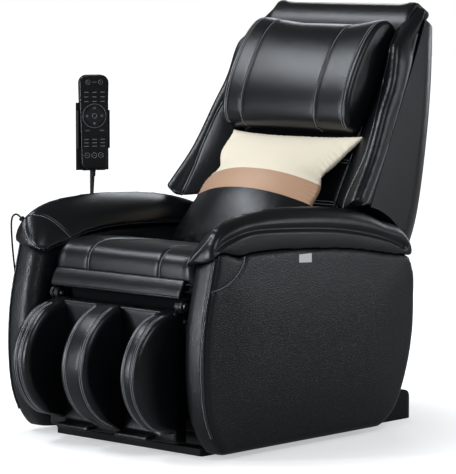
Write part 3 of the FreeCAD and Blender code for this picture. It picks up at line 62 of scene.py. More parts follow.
# Sewing thread, the spacing of points along a seam, and how often a swollen side is smoothed.
THREAD_RADIUS = 0.8 * MM
STITCH_LENGTH = 4.4 * MM
STITCH_PITCH = 5.2 * MM
LINE_STEP = 2.0 * MM
CROWN_CALMING = 60

# Material textures: where a pebble is fully raised, waves per unit of scale, and gloss patches per metre.
PEBBLE_EDGE = 0.32
WAVE_PERIODS = 3.2
GLOSS_PATCHES = 14.0
SHEEN_ROUGHNESS = 0.4

# Seams: how the surface is drawn in beside a groove and at its ends.
TUCK_SHARE = 0.35
TUCK_REACH = 1.5
GATHER_REACH = 1.7
PRESS_REACH = 3.2
END_SHARE = 0.35
END_FADE = 10 * MM
GATHER_PITCH = 2.6 * MM
GATHER_SWING = 2.2
GATHER_DRIFT = 17 * MM
GATHER_SHIFT = 1.7
AROUND_REACH = 900.0
AROUND_COUNT = 140
BEAD_SINK = 0.45
THREAD_SINK = 0.35

# Soft forms: repeat of the sag, facing of a flat side, and the simulated leather bag.
SAG_REPEAT = 0.085
FLAT_FACING = 0.93
HELD_REACH = 1.2
BAG_PRESSURE = 4.0
BAG_STIFFNESS = 30.0
BAG_QUALITY = 6
BAG_FRAMES = 20

Point = Sequence[float]
Span = tuple[float, float]
Route = tuple[Point, ...]
Piece = bpy.types.Object
Tree = bpy.types.NodeTree
Node = bpy.types.Node
Socket = bpy.types.NodeSocket
Stitches = tuple[np.ndarray, np.ndarray, np.ndarray]


class Slot(Enum):
    """Material slots of the record."""

    LEATHER = "black_leather"
    PILLOW = "pillow_cloth"
    MOULDED = "moulded_black"
    GLOSS = "gloss_black"
    ENAMEL = "frame_enamel"
    ZINC = "zinc_steel"
    PLYWOOD = "plywood"
    CASTING = "drive_casting"
    NYLON = "roller_nylon"
    RUBBER = "black_rubber"
    TAG = "tag_cloth"
    KEYS = "key_plastic"


class Side(Enum):
    """The sitter's two sides, by the sign of X."""

    LEFT = 1
    RIGHT = -1


class Pattern(Enum):
    """Kinds of fine relief."""

    PEBBLE = "pebble"
    CREASE = "crease"
    WEAVE = "weave"
    BRUSHED = "brushed"


@dataclass(frozen=True)
class Relief:
    """One layer of fine relief: its pattern, and its repeat and height in millimetres."""

    pattern: Pattern
    size: float
    height: float
    stretch: tuple[float, float, float] = (1.0, 1.0, 1.0)
    turn: float = 0.0


@dataclass(frozen=True)
class Finish:
    """A real material: sRGB colour, gloss, and its layers of relief."""

    name: str
    colour: str
    rough: float
    metal: float = 0.0
    specular: float = 0.5
    sheen: float = 0.0
    vary: float = 0.0
    reliefs: tuple[Relief, ...] = ()


# The finishes. Each comment says what the real material gives the eye. A grain or weave too fine to show
# in the render is drawn as coarse as it needs to show, and the comment gives both sizes.

# Embossed and lacquered polyurethane leather: near black, with long soft highlights that slow creases bend.
# Its grain of about 1 mm is drawn at 3 mm.
LEATHER = Finish("black polyurethane leather", "#0c0e11", 0.29, specular=0.42, vary=0.015, reliefs=(
    Relief(Pattern.CREASE, 70.0, 0.15),
    Relief(Pattern.PEBBLE, 3.0, 0.09),
))
# The same leather embossed deeper for the flat sides: their sheen breaks up into flecks. Its grain of
# about 2 mm is drawn at 5.5 mm.
PANEL_LEATHER = Finish("black grained side leather", "#0e1114", 0.33, specular=0.42, vary=0.015, reliefs=(
    Relief(Pattern.CREASE, 30.0, 0.16, (1.0, 0.5, 1.4)),
    Relief(Pattern.PEBBLE, 5.5, 0.24, (1.0, 0.55, 1.3)),
))
# Smoother lacquered leather on the loose pillow: a tighter highlight over faint grain. Its grain of about
# 1 mm is drawn at 2.6 mm.
PILLOW_LEATHER = Finish("glossy black pillow leather", "#0b0d10", 0.27, specular=0.42, vary=0.01, reliefs=(
    Relief(Pattern.CREASE, 60.0, 0.12),
    Relief(Pattern.PEBBLE, 2.6, 0.10),
))
# Leather strip folded and stretched over a cord: one thin bright line along the edge that it trims.
PIPING_LEATHER = Finish("black piping leather", "#15171a", 0.2, specular=0.7)
# Plain woven cotton: matt and warm, with soft wrinkles and a pale bloom where it turns away. Threads
# 0.5 mm apart are drawn 1.6 mm apart.
CREAM_CLOTH = Finish("cream woven cotton", "#fcf0d8", 0.82, specular=0.2, sheen=0.25, vary=0.03, reliefs=(
    Relief(Pattern.CREASE, 60.0, 0.5),
    Relief(Pattern.WEAVE, 1.6, 0.10, turn=-LEAN),
))
# Satin woven ribbon: smooth tan with a wide dull shine over its wrinkles. Threads 0.2 mm apart are drawn
# 1.2 mm apart.
TAN_SATIN = Finish("tan satin ribbon", "#c79e7f", 0.38, specular=0.5, sheen=0.2, vary=0.05, reliefs=(
    Relief(Pattern.CREASE, 60.0, 0.4),
    Relief(Pattern.WEAVE, 1.2, 0.04, turn=-LEAN),
))
# Twisted polyester sewing thread: pale grey dashes that stand out from black leather.
THREAD = Finish("grey polyester thread", "#c4c7cc", 0.45, specular=0.5)
# ABS moulded in an etched tool: dark, with an even satin highlight that its grit only dulls. Grit of
# 0.3 mm is drawn at 1.4 mm.
MOULDED = Finish("black moulded ABS", "#0b0d10", 0.36, specular=0.26, vary=0.02, reliefs=(
    Relief(Pattern.CREASE, 1.4, 0.03),
))
# ABS moulded in a polished tool: deep black with small sharp highlights.
GLOSS = Finish("glossy black ABS", "#0f1012", 0.16, specular=0.5)
# Key tops from a blasted tool: a shade lighter and duller than the glossy front, so that they stand apart.
KEYS = Finish("satin key plastic", "#1a1b1d", 0.34)
# Printed ink: flat mid grey with no shine.
PRINT = Finish("grey key print", "#8d9095", 0.6)
# Stoved enamel on steel: black and half glossy, a little uneven from one patch to the next.
ENAMEL = Finish("black frame enamel", "#191a1c", 0.32, vary=0.03)
# Zinc plated drawn steel: cool grey metal whose highlights are streaked. The streaks are 3 mm long and
# 0.25 mm wide.
ZINC = Finish("zinc plated steel", "#a7a9ab", 0.36, metal=1.0, reliefs=(
    Relief(Pattern.BRUSHED, 3.0, 0.01, (1.0, 12.0, 12.0)),
))
# Aluminium as it leaves the mould: pale dull metal with a pitted skin. Pits of 0.5 mm are drawn at 1.8 mm.
CASTING = Finish("cast aluminium", "#8f9194", 0.5, metal=1.0, reliefs=(Relief(Pattern.CREASE, 1.8, 0.05),))
# Moulded nylon: dark grey with a waxy half gloss.
NYLON = Finish("black nylon", "#232426", 0.4)
# Moulded or extruded rubber: black and almost matt.
RUBBER = Finish("black rubber", "#101112", 0.6, specular=0.3)
# Peeled birch veneer: pale tan with long grain lines, 9 mm along and about 1 mm across.
PLYWOOD = Finish("birch plywood", "#c9a679", 0.6, vary=0.12, reliefs=(
    Relief(Pattern.BRUSHED, 9.0, 0.05, (1.0, 8.0, 1.0)),
))
# Woven label tape: flat bright white, the lightest thing on the chair. Its weave is too fine to draw.
TAG_CLOTH = Finish("white woven tag", "#fbfbfa", 0.8, specular=0.2)
# Felted dust cloth over the seat board, made the deepest matt black as painted shade, so that the gap between
# the calf flap and the fins reads as shade.
DUST_CLOTH_AS_SHADE = Finish("black dust cloth painted as shade", "#08090a", 0.9, specular=0.15)


# Shading

def linear(code: str) -> tuple[float, float, float, float]:
    """Turn an sRGB hex code into a linear colour.

    Args:
        code: Colour such as "#1a1b1d".

    Returns:
        Red, green, blue and alpha.
    """
    channels = [int(code[k:k + 2], 16) / 255 for k in (1, 3, 5)]
    made = [c / 12.92 if c <= 0.04045 else ((c + 0.055) / 1.055) ** 2.4 for c in channels]
    return (*made, 1.0)


def add_node(tree: Tree, kind: str, inputs: Optional[dict] = None, **settings) -> Node:
    """Add a shader node.

    Args:
        tree: Node tree that gets it.
        kind: Node type without its "ShaderNode" prefix.
        inputs: Value, or socket to link from, for each input socket.
        **settings: Properties of the node.

    Returns:
        The node.
    """
    node = tree.nodes.new("ShaderNode" + kind)
    for name, value in settings.items():
        setattr(node, name, value)
    for name, value in (inputs or {}).items():
        if isinstance(value, Socket):
            tree.links.new(value, node.inputs[name])
        else:
            node.inputs[name].default_value = value
    return node


def relief_height(tree: Tree, relief: Relief, place: Socket) -> Socket:
    """Add the texture of one relief layer.

    Args:
        tree: Node tree of the material.
        relief: The layer.
        place: Coordinates in metres.

    Returns:
        Height socket, from 0 to 1.
    """
    frequency = 1 / (relief.size * MM)
    mapping = add_node(tree, "Mapping", {
        "Vector": place, "Scale": relief.stretch, "Rotation": (relief.turn, 0, 0),
    })
    spot = mapping.outputs["Vector"]
    if relief.pattern is Pattern.PEBBLE:
        cells = add_node(tree, "TexVoronoi", {"Vector": spot, "Scale": frequency}, feature="DISTANCE_TO_EDGE")
        crown = add_node(tree, "MapRange", {"Value": cells.outputs["Distance"], "From Max": PEBBLE_EDGE},
                         interpolation_type="SMOOTHSTEP")
        return crown.outputs["Result"]
    if relief.pattern is Pattern.WEAVE:
        waves = {"Vector": spot, "Scale": frequency / WAVE_PERIODS}
        bands = [add_node(tree, "TexWave", waves, bands_direction=axis) for axis in ("X", "Z")]
        cross = add_node(tree, "Math", operation="MAXIMUM")
        for index, band in enumerate(bands):
            tree.links.new(band.outputs["Fac"], cross.inputs[index])
        return cross.outputs["Value"]
    detail = 3.0 if relief.pattern is Pattern.CREASE else 1.0
    noise = add_node(tree, "TexNoise", {
        "Vector": spot, "Scale": frequency, "Detail": detail, "Roughness": 0.5,
    })
    return noise.outputs["Fac"]


def material(finish: Finish) -> bpy.types.Material:
    """Make a finish's material, or find it if it is made already.

    Args:
        finish: What it looks like.

    Returns:
        The material.
    """
    found = bpy.data.materials.get(finish.name)
    if found:
        return found
    made = bpy.data.materials.new(finish.name)
    made.use_nodes = True
    tree = made.node_tree
    tree.nodes.clear()
    place = add_node(tree, "TexCoord").outputs["Object"]
    shader = add_node(tree, "BsdfPrincipled", {
        "Base Color": linear(finish.colour),
        "Roughness": finish.rough,
        "Metallic": finish.metal,
        "Specular IOR Level": finish.specular,
        "Sheen Weight": finish.sheen,
        "Sheen Roughness": SHEEN_ROUGHNESS,
    })
    if finish.vary:
        patches = add_node(tree, "TexNoise", {"Vector": place, "Scale": GLOSS_PATCHES, "Detail": 4.0})
        spread = add_node(tree, "MapRange", {
            "Value": patches.outputs["Fac"],
            "To Min": finish.rough - finish.vary,
            "To Max": finish.rough + finish.vary,
        })
        tree.links.new(spread.outputs["Result"], shader.inputs["Roughness"])
    bump = None
    for relief in finish.reliefs:
        height = relief_height(tree, relief, place)
        bump = add_node(tree, "Bump", {
            "Height": height, "Distance": relief.height * MM, **({"Normal": bump} if bump else {}),
        }).outputs["Normal"]
    if bump:
        tree.links.new(bump, shader.inputs["Normal"])
    output = add_node(tree, "OutputMaterial")
    tree.links.new(shader.outputs["BSDF"], output.inputs["Surface"])
    return made


def paint(piece: Piece, *finishes: Finish) -> None:
    """Give a piece its materials in place of those it has.

    Args:
        piece: New piece or CAD node.
        *finishes: Its finishes, in the order of its material slots.
    """
    piece.data.materials.clear()
    for finish in finishes:
        piece.data.materials.append(material(finish))


# Shaping

def take(*pieces: Piece) -> None:
    """Select these pieces alone and make the first one active.

    Args:
        *pieces: What to select.
    """
    bpy.ops.object.select_all(action="DESELECT")
    for piece in pieces:
        piece.select_set(True)
    bpy.context.view_layer.objects.active = pieces[0]


def shape(piece: Piece, kind: str, **settings) -> None:
    """Add a modifier to a piece and apply it.

    Args:
        piece: The piece.
        kind: Kind of modifier.
        **settings: Its settings.
    """
    modifier = piece.modifiers.new(kind, kind)
    for name, value in settings.items():
        setattr(modifier, name, value)
    take(piece)
    bpy.ops.object.modifier_apply(modifier=modifier.name)


def linked(name: str, data: bpy.types.ID) -> Piece:
    """Make an object of a mesh, curve, lamp or camera and show it in the scene.

    Args:
        name: Name of the object.
        data: What it is made of.

    Returns:
        The object.
    """
    piece = bpy.data.objects.new(name, data)
    bpy.context.scene.collection.objects.link(piece)
    return piece


def report(piece: Piece) -> None:
    """Log a finished piece and how many faces it has."""
    log.info("%s: %d faces", piece.name, len(getattr(piece.data, "polygons", ())))


def places(piece: Piece) -> np.ndarray:
    """Vertex positions as rows.

    Args:
        piece: The piece.

    Returns:
        X, Y and Z of each vertex, in metres.
    """
    flat = np.zeros(len(piece.data.vertices) * 3)
    piece.data.vertices.foreach_get("co", flat)
    return flat.reshape(-1, 3)


def set_places(piece: Piece, spots: np.ndarray) -> None:
    """Move all vertices of a piece."""
    piece.data.vertices.foreach_set("co", spots.astype(np.float32).ravel())
    piece.data.update()


def normals(piece: Piece) -> np.ndarray:
    """Vertex normals as rows.

    Args:
        piece: The piece.

    Returns:
        Outward direction at each vertex.
    """
    flat = np.zeros(len(piece.data.vertices) * 3)
    piece.data.vertices.foreach_get("normal", flat)
    return flat.reshape(-1, 3)


def point_tree(spots: np.ndarray) -> KDTree:
    """Search tree of points.

    Args:
        spots: The points as rows.

    Returns:
        The tree, which gives each point's row number.
    """
    finder = KDTree(len(spots))
    for index, spot in enumerate(spots):
        finder.insert(spot, index)
    finder.balance()
    return finder


def surface(piece: Piece) -> BVHTree:
    """Search tree of a piece's faces."""
    bpy.context.view_layer.update()
    return BVHTree.FromObject(piece, bpy.context.evaluated_depsgraph_get())


def even(rows: np.ndarray, step: float) -> np.ndarray:
    """Respace rows evenly along the line that their first three columns draw.

    Args:
        rows: Points in order, with any columns that go with them.
        step: Distance between the new rows.

    Returns:
        The new rows, with the first and last where they were.
    """
    runs = np.concatenate([[0], np.cumsum(np.linalg.norm(np.diff(rows[:, :3], axis=0), axis=1))])
    count = max(2, int(runs[-1] / step) + 1)
    at = np.linspace(0, runs[-1], count)
    return np.column_stack([np.interp(at, runs, rows[:, k]) for k in range(rows.shape[1])])


def calm(rows: np.ndarray, passes: int) -> np.ndarray:
    """Smooth rows along the line, with the ends kept.

    Args:
        rows: Points or values in order.
        passes: How often to smooth.

    Returns:
        The smoothed copy.
    """
    rows = rows.copy()
    for _ in range(passes):
        rows[1:-1] = (rows[:-2] + 2 * rows[1:-1] + rows[2:]) / 4
    return rows


def curve_through(points: Iterable[Point], step: float) -> np.ndarray:
    """Even points on a smooth curve through a few given ones, all in metres.

    Args:
        points: What the curve passes through, in order.
        step: Distance between the even points.

    Returns:
        The even points as rows.
    """
    knots = np.array([tuple(p) for p in points], float)
    if len(knots) == 2:
        return even(knots, step)
    ends = [2 * knots[0] - knots[1]], [2 * knots[-1] - knots[-2]]
    knots = np.vstack([ends[0], knots, ends[1]])
    share = np.linspace(0, 1, 20, endpoint=False)[:, None]
    runs = []
    for a, b, c, d in zip(knots, knots[1:], knots[2:], knots[3:]):
        cubic = 3 * b - a - 3 * c + d
        square = 2 * a - 5 * b + 4 * c - d
        runs.append(0.5 * (2 * b + (c - a) * share + square * share ** 2 + cubic * share ** 3))
    return even(np.vstack(runs + [knots[-2:-1]]), step)


@dataclass(frozen=True)
class Axes:
    """A set of axes in which a piece is described: millimetres across, deep and tall."""

    origin: Vector
    deep: Vector
    tall: Vector

    def place(self, x: float, d: float, s: float) -> Vector:
        """Place in metres of a point in these axes."""
        return self.origin + (Vector((x, 0, 0)) + self.deep * d + self.tall * s) * MM

    def inside(self, spots: np.ndarray) -> np.ndarray:
        """Rows in these axes, from places in metres."""
        away = (spots - np.array(self.origin)) / MM
        return np.column_stack([away[:, 0], away @ np.array(self.deep), away @ np.array(self.tall)])

    def outside(self, rows: np.ndarray) -> np.ndarray:
        """Places in metres, from rows in these axes.

        Args:
            rows: Millimetres across, deep and tall.

        Returns:
            X, Y and Z of each row.
        """
        across = np.outer(rows[:, 0], (1, 0, 0))
        turned = across + np.outer(rows[:, 1], self.deep) + np.outer(rows[:, 2], self.tall)
        return np.array(self.origin) + turned * MM


FLOOR = Axes(Vector((0, 0, 0)), Vector((0, 1, 0)), Vector((0, 0, 1)))
BACK = Axes(PIVOT, Vector((0, math.cos(LEAN), -math.sin(LEAN))), Vector((0, math.sin(LEAN), math.cos(LEAN))))


def ramp(values: np.ndarray, low: float, high: float) -> np.ndarray:
    """Smooth step from 0 at one value to 1 at another."""
    share = np.clip((values - low) / (high - low), 0, 1)
    return share * share * (3 - 2 * share)


# Seams

@dataclass
class Guide:
    """Where a seam runs: points near the surface, or points outside it and the ways to cast them."""

    starts: list[Vector]
    ways: Optional[list[Vector]] = None


def near(points: Iterable[Vector]) -> Guide:
    """Guide along a smooth curve through points that lie on or near the surface."""
    return Guide([Vector(row) for row in curve_through(points, 2 * LINE_STEP)])


def cast(points: Iterable[Vector], way: Vector) -> Guide:
    """Guide that is cast one way from points outside the surface."""
    starts = [Vector(row) for row in curve_through(points, 2 * LINE_STEP)]
    return Guide(starts, [way] * len(starts))


def around(axes: Axes, x: float, centre: Point, start: float, end: float) -> Guide:
    """Guide that wraps a piece at one X, seen from a centre inside it.

    Args:
        axes: Axes of the numbers.
        x: Millimetres across.
        centre: Millimetres deep and tall.
        start: First angle in degrees: 0 is up and 90 is forward.
        end: Last angle in degrees.

    Returns:
        The guide.
    """
    middle = axes.place(x, *centre)
    starts, ways = [], []
    for angle in np.radians(np.linspace(start, end, AROUND_COUNT)):
        ahead, up = AROUND_REACH * math.sin(angle), AROUND_REACH * math.cos(angle)
        away = axes.place(x, centre[0] - ahead, centre[1] + up)
        starts.append(away)
        ways.append((middle - away).normalized())
    return Guide(starts, ways)


@dataclass
class Line:
    """A seam line laid on a surface: points and outward directions, evenly spaced."""

    spots: np.ndarray
    ups: np.ndarray

    def sides(self) -> np.ndarray:
        """Unit directions across the line, in the surface.

        Returns:
            One direction for each point.
        """
        along = np.gradient(self.spots, axis=0)
        across = np.cross(along, self.ups)
        return across / np.maximum(np.linalg.norm(across, axis=1, keepdims=True), 1e-12)


def lay(tree: BVHTree, guide: Guide) -> Line:
    """Lay a guide on a surface.

    Args:
        tree: The surface.
        guide: Where the line runs.

    Returns:
        The line. Guide points whose cast misses are left out.
    """
    rows = []
    for index, start in enumerate(guide.starts):
        if guide.ways:
            spot, up, _, _ = tree.ray_cast(start, guide.ways[index])
        else:
            spot, up, _, _ = tree.find_nearest(start)
        if spot is not None:
            rows.append((*spot, *up))
    table = even(np.array(rows), LINE_STEP)
    table = even(calm(table, 6), LINE_STEP)
    ups = table[:, 3:]
    return Line(table[:, :3], ups / np.linalg.norm(ups, axis=1, keepdims=True))


@dataclass
class Seam:
    """How one seam is sewn. Sizes in millimetres."""

    guide: Guide
    width: float = 7.0
    depth: float = 2.0
    gather: float = 0.12
    rows: tuple[float, ...] = (-2.7, 2.7)
    bead: float = 0.0


def press(piece: Piece, line: Line, seam: Seam, phase: float) -> None:
    """Draw a seam into a piece: a groove, a shallow tuck beside it and small gathers.

    Args:
        piece: Padded piece.
        line: The seam laid on it.
        seam: Its sizes.
        phase: Shift of the gathers, so that no two seams have the same.
    """
    width, depth, gather = seam.width * MM, seam.depth * MM, seam.gather * MM
    reach = PRESS_REACH * width
    spots, ups = places(piece), normals(piece)
    inside = np.all((spots > line.spots.min(0) - reach) & (spots < line.spots.max(0) + reach), axis=1)
    finder = point_tree(line.spots)
    chosen = np.flatnonzero(inside)
    found = [finder.find(spots[k])[1:] for k in chosen]
    if not found:
        return
    along = np.array([row[0] for row in found]) * LINE_STEP
    away = np.array([row[1] for row in found])
    groove = np.clip(1 - (away / width) ** 2, 0, None) ** 2
    tuck = TUCK_SHARE * np.exp(-(away / (TUCK_REACH * width)) ** 2)
    fade = np.clip(np.minimum(along, len(line.spots) * LINE_STEP - along) / END_FADE, 0, 1)
    ripple = np.sin(along / GATHER_PITCH + GATHER_SWING * np.sin(along / GATHER_DRIFT + phase) + phase)
    puckers = gather * ripple * np.exp(-(away / (GATHER_REACH * width)) ** 2) * (1 - groove)
    move = puckers - depth * (groove + tuck) * (END_SHARE + (1 - END_SHARE) * fade)
    spots[chosen] += ups[chosen] * move[:, None]
    set_places(piece, spots)


def spindles(name: str, groups: list[Stitches]) -> Piece:
    """Mesh of many short threads.

    Args:
        name: Name of the piece.
        groups: Middles, unit directions and outward directions of the stitches.

    Returns:
        The piece.
    """
    sides, shoulder = 5, 0.55
    turns = np.arange(sides) * 2 * math.pi / sides
    vertices, faces = [], []
    for middles, alongs, ups in groups:
        across = np.cross(alongs, ups)
        for middle, along, up, side in zip(middles, alongs, ups, across):
            base = len(vertices)
            half = along * STITCH_LENGTH / 2
            vertices.append(middle - half - up * THREAD_RADIUS)
            vertices.append(middle + half - up * THREAD_RADIUS)
            for share in (-shoulder, shoulder):
                for turn in turns:
                    ring = (up * math.cos(turn) + side * math.sin(turn)) * THREAD_RADIUS
                    vertices.append(middle + half * share + ring)
            for k in range(sides):
                j = (k + 1) % sides
                faces.append((base, base + 2 + j, base + 2 + k))
                faces.append((base + 1, base + 2 + sides + k, base + 2 + sides + j))
                faces.append((base + 2 + k, base + 2 + j, base + 2 + sides + j, base + 2 + sides + k))
    return linked(name, closed_mesh(name, vertices, faces))


def tube(name: str, lines: list[tuple[Line, float]], sides: int = 8) -> Piece:
    """Mesh of round beads along lines that lie on a surface.

    Args:
        name: Name of the piece.
        lines: Each line and the bead's radius in metres.
        sides: Sides of the round section.

    Returns:
        The piece.
    """
    vertices, faces = [], []
    turns = [2 * math.pi * k / sides for k in range(sides)]
    for line, radius in lines:
        base = len(vertices)
        cross = line.sides()
        for spot, up, side in zip(line.spots, line.ups, cross):
            vertices += [spot + (up * math.cos(turn) - side * math.sin(turn)) * radius for turn in turns]
        faces += ring_faces(base, len(line.spots), sides)
    return linked(name, closed_mesh(name, vertices, faces))


def ring_faces(base: int, rings: int, sides: int) -> list[tuple[int, ...]]:
    """Faces between rings of vertices that are stored one after another, with both ends closed.

    Args:
        base: Number of the first vertex.
        rings: How many rings there are.
        sides: Vertices in each ring.

    Returns:
        The faces by vertex numbers.
    """
    faces = [tuple(base + k for k in reversed(range(sides)))]
    for low in range(base, base + (rings - 1) * sides, sides):
        for k in range(sides):
            j = (k + 1) % sides
            faces.append((low + k, low + j, low + sides + j, low + sides + k))
    faces.append(tuple(base + (rings - 1) * sides + k for k in range(sides)))
    return faces


def closed_mesh(name: str, vertices: Iterable[Point], faces: list) -> bpy.types.Mesh:
    """Smooth mesh with its faces turned outwards.

    Args:
        name: Name of the mesh.
        vertices: Places in metres.
        faces: Vertex numbers of each face.

    Returns:
        The mesh.
    """
    mesh = bpy.data.meshes.new(name)
    mesh.from_pydata([tuple(v) for v in vertices], [], faces)
    work = bmesh.new()
    work.from_mesh(mesh)
    bmesh.ops.recalc_face_normals(work, faces=work.faces)
    work.to_mesh(mesh)
    work.free()
    mesh.shade_smooth()
    return mesh


# Upholstery

@dataclass
class Padding:
    """How one padded piece is made from its CAD solid. Sizes in millimetres."""

    node: str
    name: str
    finish: Finish = LEATHER
    slot: Slot = Slot.LEATHER
    cell: float = 6.0
    rounding: int = 6
    fill: float = 0.8
    puff: float = 0.0
    sag: float = 0.25
    crown: float = 0.0
    crown_reach: float = 60.0
    axes: Axes = FLOOR
    reshape: Optional[Callable[[np.ndarray], np.ndarray]] = None
    form: Optional[Callable[[], bpy.types.Mesh]] = None
    straight: Optional[tuple[Point, float, Point]] = None
    seams: list[Seam] = field(default_factory=list)


@dataclass
class Upholsterer:
    """Makes the padded pieces that ride on one CAD body, and gathers their threads and beads."""

    name: str
    body: str
    threads: list[Stitches] = field(default_factory=list)
    beads: list[tuple[Line, float]] = field(default_factory=list)

    def pad(self, plan: Padding) -> Piece:
        """Make one padded piece with its seams.

        Args:
            plan: What to make.

        Returns:
            The piece.
        """
        piece = linked(plan.name, plan.form() if plan.form else frame["nodes"][plan.node].data.copy())
        if not plan.form:
            shape(piece, "REMESH", mode="VOXEL", voxel_size=plan.cell * MM, use_smooth_shade=True)
            shape(piece, "SMOOTH", factor=0.5, iterations=plan.rounding)
        if plan.crown:
            crown(piece, plan.crown * MM, plan.crown_reach * MM)
        if plan.straight:
            straighten(piece, *plan.straight)
        if plan.puff:
            inflate(piece, plan)
        if not plan.form:
            shape(piece, "SUBSURF", levels=1, render_levels=1)
        if plan.sag:
            clouds = bpy.data.textures.new(plan.name + "_sag", "CLOUDS")
            clouds.noise_scale = SAG_REPEAT
            shape(piece, "DISPLACE", texture=clouds, texture_coords="GLOBAL", strength=2 * plan.sag * MM,
                  mid_level=0.5)
        if plan.reshape:
            set_places(piece, plan.axes.outside(plan.reshape(plan.axes.inside(places(piece)))))
        tree = surface(piece)
        lines = [lay(tree, seam.guide) for seam in plan.seams]
        for index, (line, seam) in enumerate(zip(lines, plan.seams)):
            press(piece, line, seam, GATHER_SHIFT * index + len(self.beads))
        tree = surface(piece)
        for line, seam in zip(lines, plan.seams):
            self.sew(tree, line, seam)
        paint(piece, plan.finish)
        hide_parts(plan.node)
        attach(piece, self.body)
        report(piece)
        return piece

    def sew(self, tree: BVHTree, line: Line, seam: Seam) -> None:
        """Lay a seam's threads and bead on the pressed surface.

        Args:
            tree: The pressed surface.
            line: Where the seam runs.
            seam: How it is sewn.
        """
        for offset in seam.rows:
            self.threads.append(stitch_row(tree, line, offset * MM))
        if seam.bead:
            radius = seam.bead * MM
            rows = [tree.find_nearest(spot)[0] for spot in line.spots]
            spots = calm(np.array([tuple(spot) for spot in rows]), 4) + line.ups * radius * BEAD_SINK
            self.beads.append((Line(spots, line.ups), radius))

    def finish(self) -> None:
        """Make the threads and the beads, one piece of each."""
        if self.threads:
            threads = spindles(self.name + "_stitching", self.threads)
            paint(threads, THREAD)
            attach(threads, self.body)
            report(threads)
        if self.beads:
            beads = tube(self.name + "_piping", self.beads)
            paint(beads, PIPING_LEATHER)
            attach(beads, self.body)
            report(beads)


def stitch_row(tree: BVHTree, line: Line, offset: float) -> Stitches:
    """Places of one row of stitches beside a line.

    Args:
        tree: Surface that they lie on.
        line: The seam.
        offset: Distance from it, in metres.

    Returns:
        Middles, unit directions and outward directions.
    """
    shifted = line.spots + line.sides() * offset
    laid = [tree.find_nearest(spot)[:2] for spot in shifted]
    spots = calm(np.array([tuple(spot) for spot, _ in laid]), 3)
    rows = even(np.hstack([spots, line.ups]), STITCH_PITCH)
    middles = (rows[1:, :3] + rows[:-1, :3]) / 2
    alongs = rows[1:, :3] - rows[:-1, :3]
    alongs /= np.linalg.norm(alongs, axis=1, keepdims=True)
    ups = (rows[1:, 3:] + rows[:-1, 3:]) / 2
    ups -= alongs * np.sum(ups * alongs, axis=1, keepdims=True)
    ups /= np.linalg.norm(ups, axis=1, keepdims=True)
    return middles + ups * THREAD_RADIUS * THREAD_SINK, alongs, ups


def crown(piece: Piece, height: float, reach: float) -> None:
    """Swell the flat sides that face along X, more with the distance from their rims.

    Args:
        piece: Padded piece.
        height: Rise in the middle, in metres.
        reach: Distance from the rim at which it is reached, in metres.
    """
    spots, ups = places(piece), normals(piece)
    level = np.abs(ups[:, 0]) > FLAT_FACING
    finder = point_tree(spots[~level] * (0, 1, 1))
    away = np.zeros(len(spots))
    for k in np.flatnonzero(level):
        away[k] = finder.find((0, spots[k][1], spots[k][2]))[2]
    rise = height * np.sin(math.pi / 2 * np.minimum(1, away / reach))
    ends = np.zeros(2 * len(piece.data.edges), int)
    piece.data.edges.foreach_get("vertices", ends)
    ends = ends.reshape(-1, 2)
    degree = np.bincount(ends.ravel(), minlength=len(spots))
    for _ in range(CROWN_CALMING):
        total = np.bincount(ends[:, 0], rise[ends[:, 1]], len(spots)) + np.bincount(
            ends[:, 1], rise[ends[:, 0]], len(spots))
        rise = np.where(level, (rise + total / np.maximum(degree, 1)) / 2, 0)
    spots[:, 0] += np.sign(ups[:, 0]) * rise
    set_places(piece, spots)


def straighten(piece: Piece, centre: Point, sample: float, reach: Point) -> None:
    """Give a cushion the same cross-section all along X, taken from its own shape at one place.

    Args:
        piece: Padded piece in the floor's axes.
        centre: Y and Z inside it, in millimetres.
        sample: X of the cross-section.
        reach: X at which the change starts to fade, and at which it is gone.
    """
    tree = surface(piece)
    turns = np.linspace(-math.pi, math.pi, 361)
    middle = FLOOR.place(sample, *centre)
    radii = []
    for turn in turns:
        way = Vector((0, math.cos(turn), math.sin(turn)))
        radii.append((tree.ray_cast(middle + way, -way)[0] - middle).length)
    radii = calm(np.array(radii), 3)
    spots = places(piece)
    away = spots[:, 1:] - np.array(middle)[1:]
    length = np.linalg.norm(away, axis=1)
    wanted = np.interp(np.arctan2(away[:, 1], away[:, 0]), turns, radii)
    share = 1 - ramp(np.abs(spots[:, 0]) / MM, *reach)
    spots[:, 1:] += away * (share * (wanted / np.maximum(length, 1e-9) - 1))[:, None]
    set_places(piece, spots)


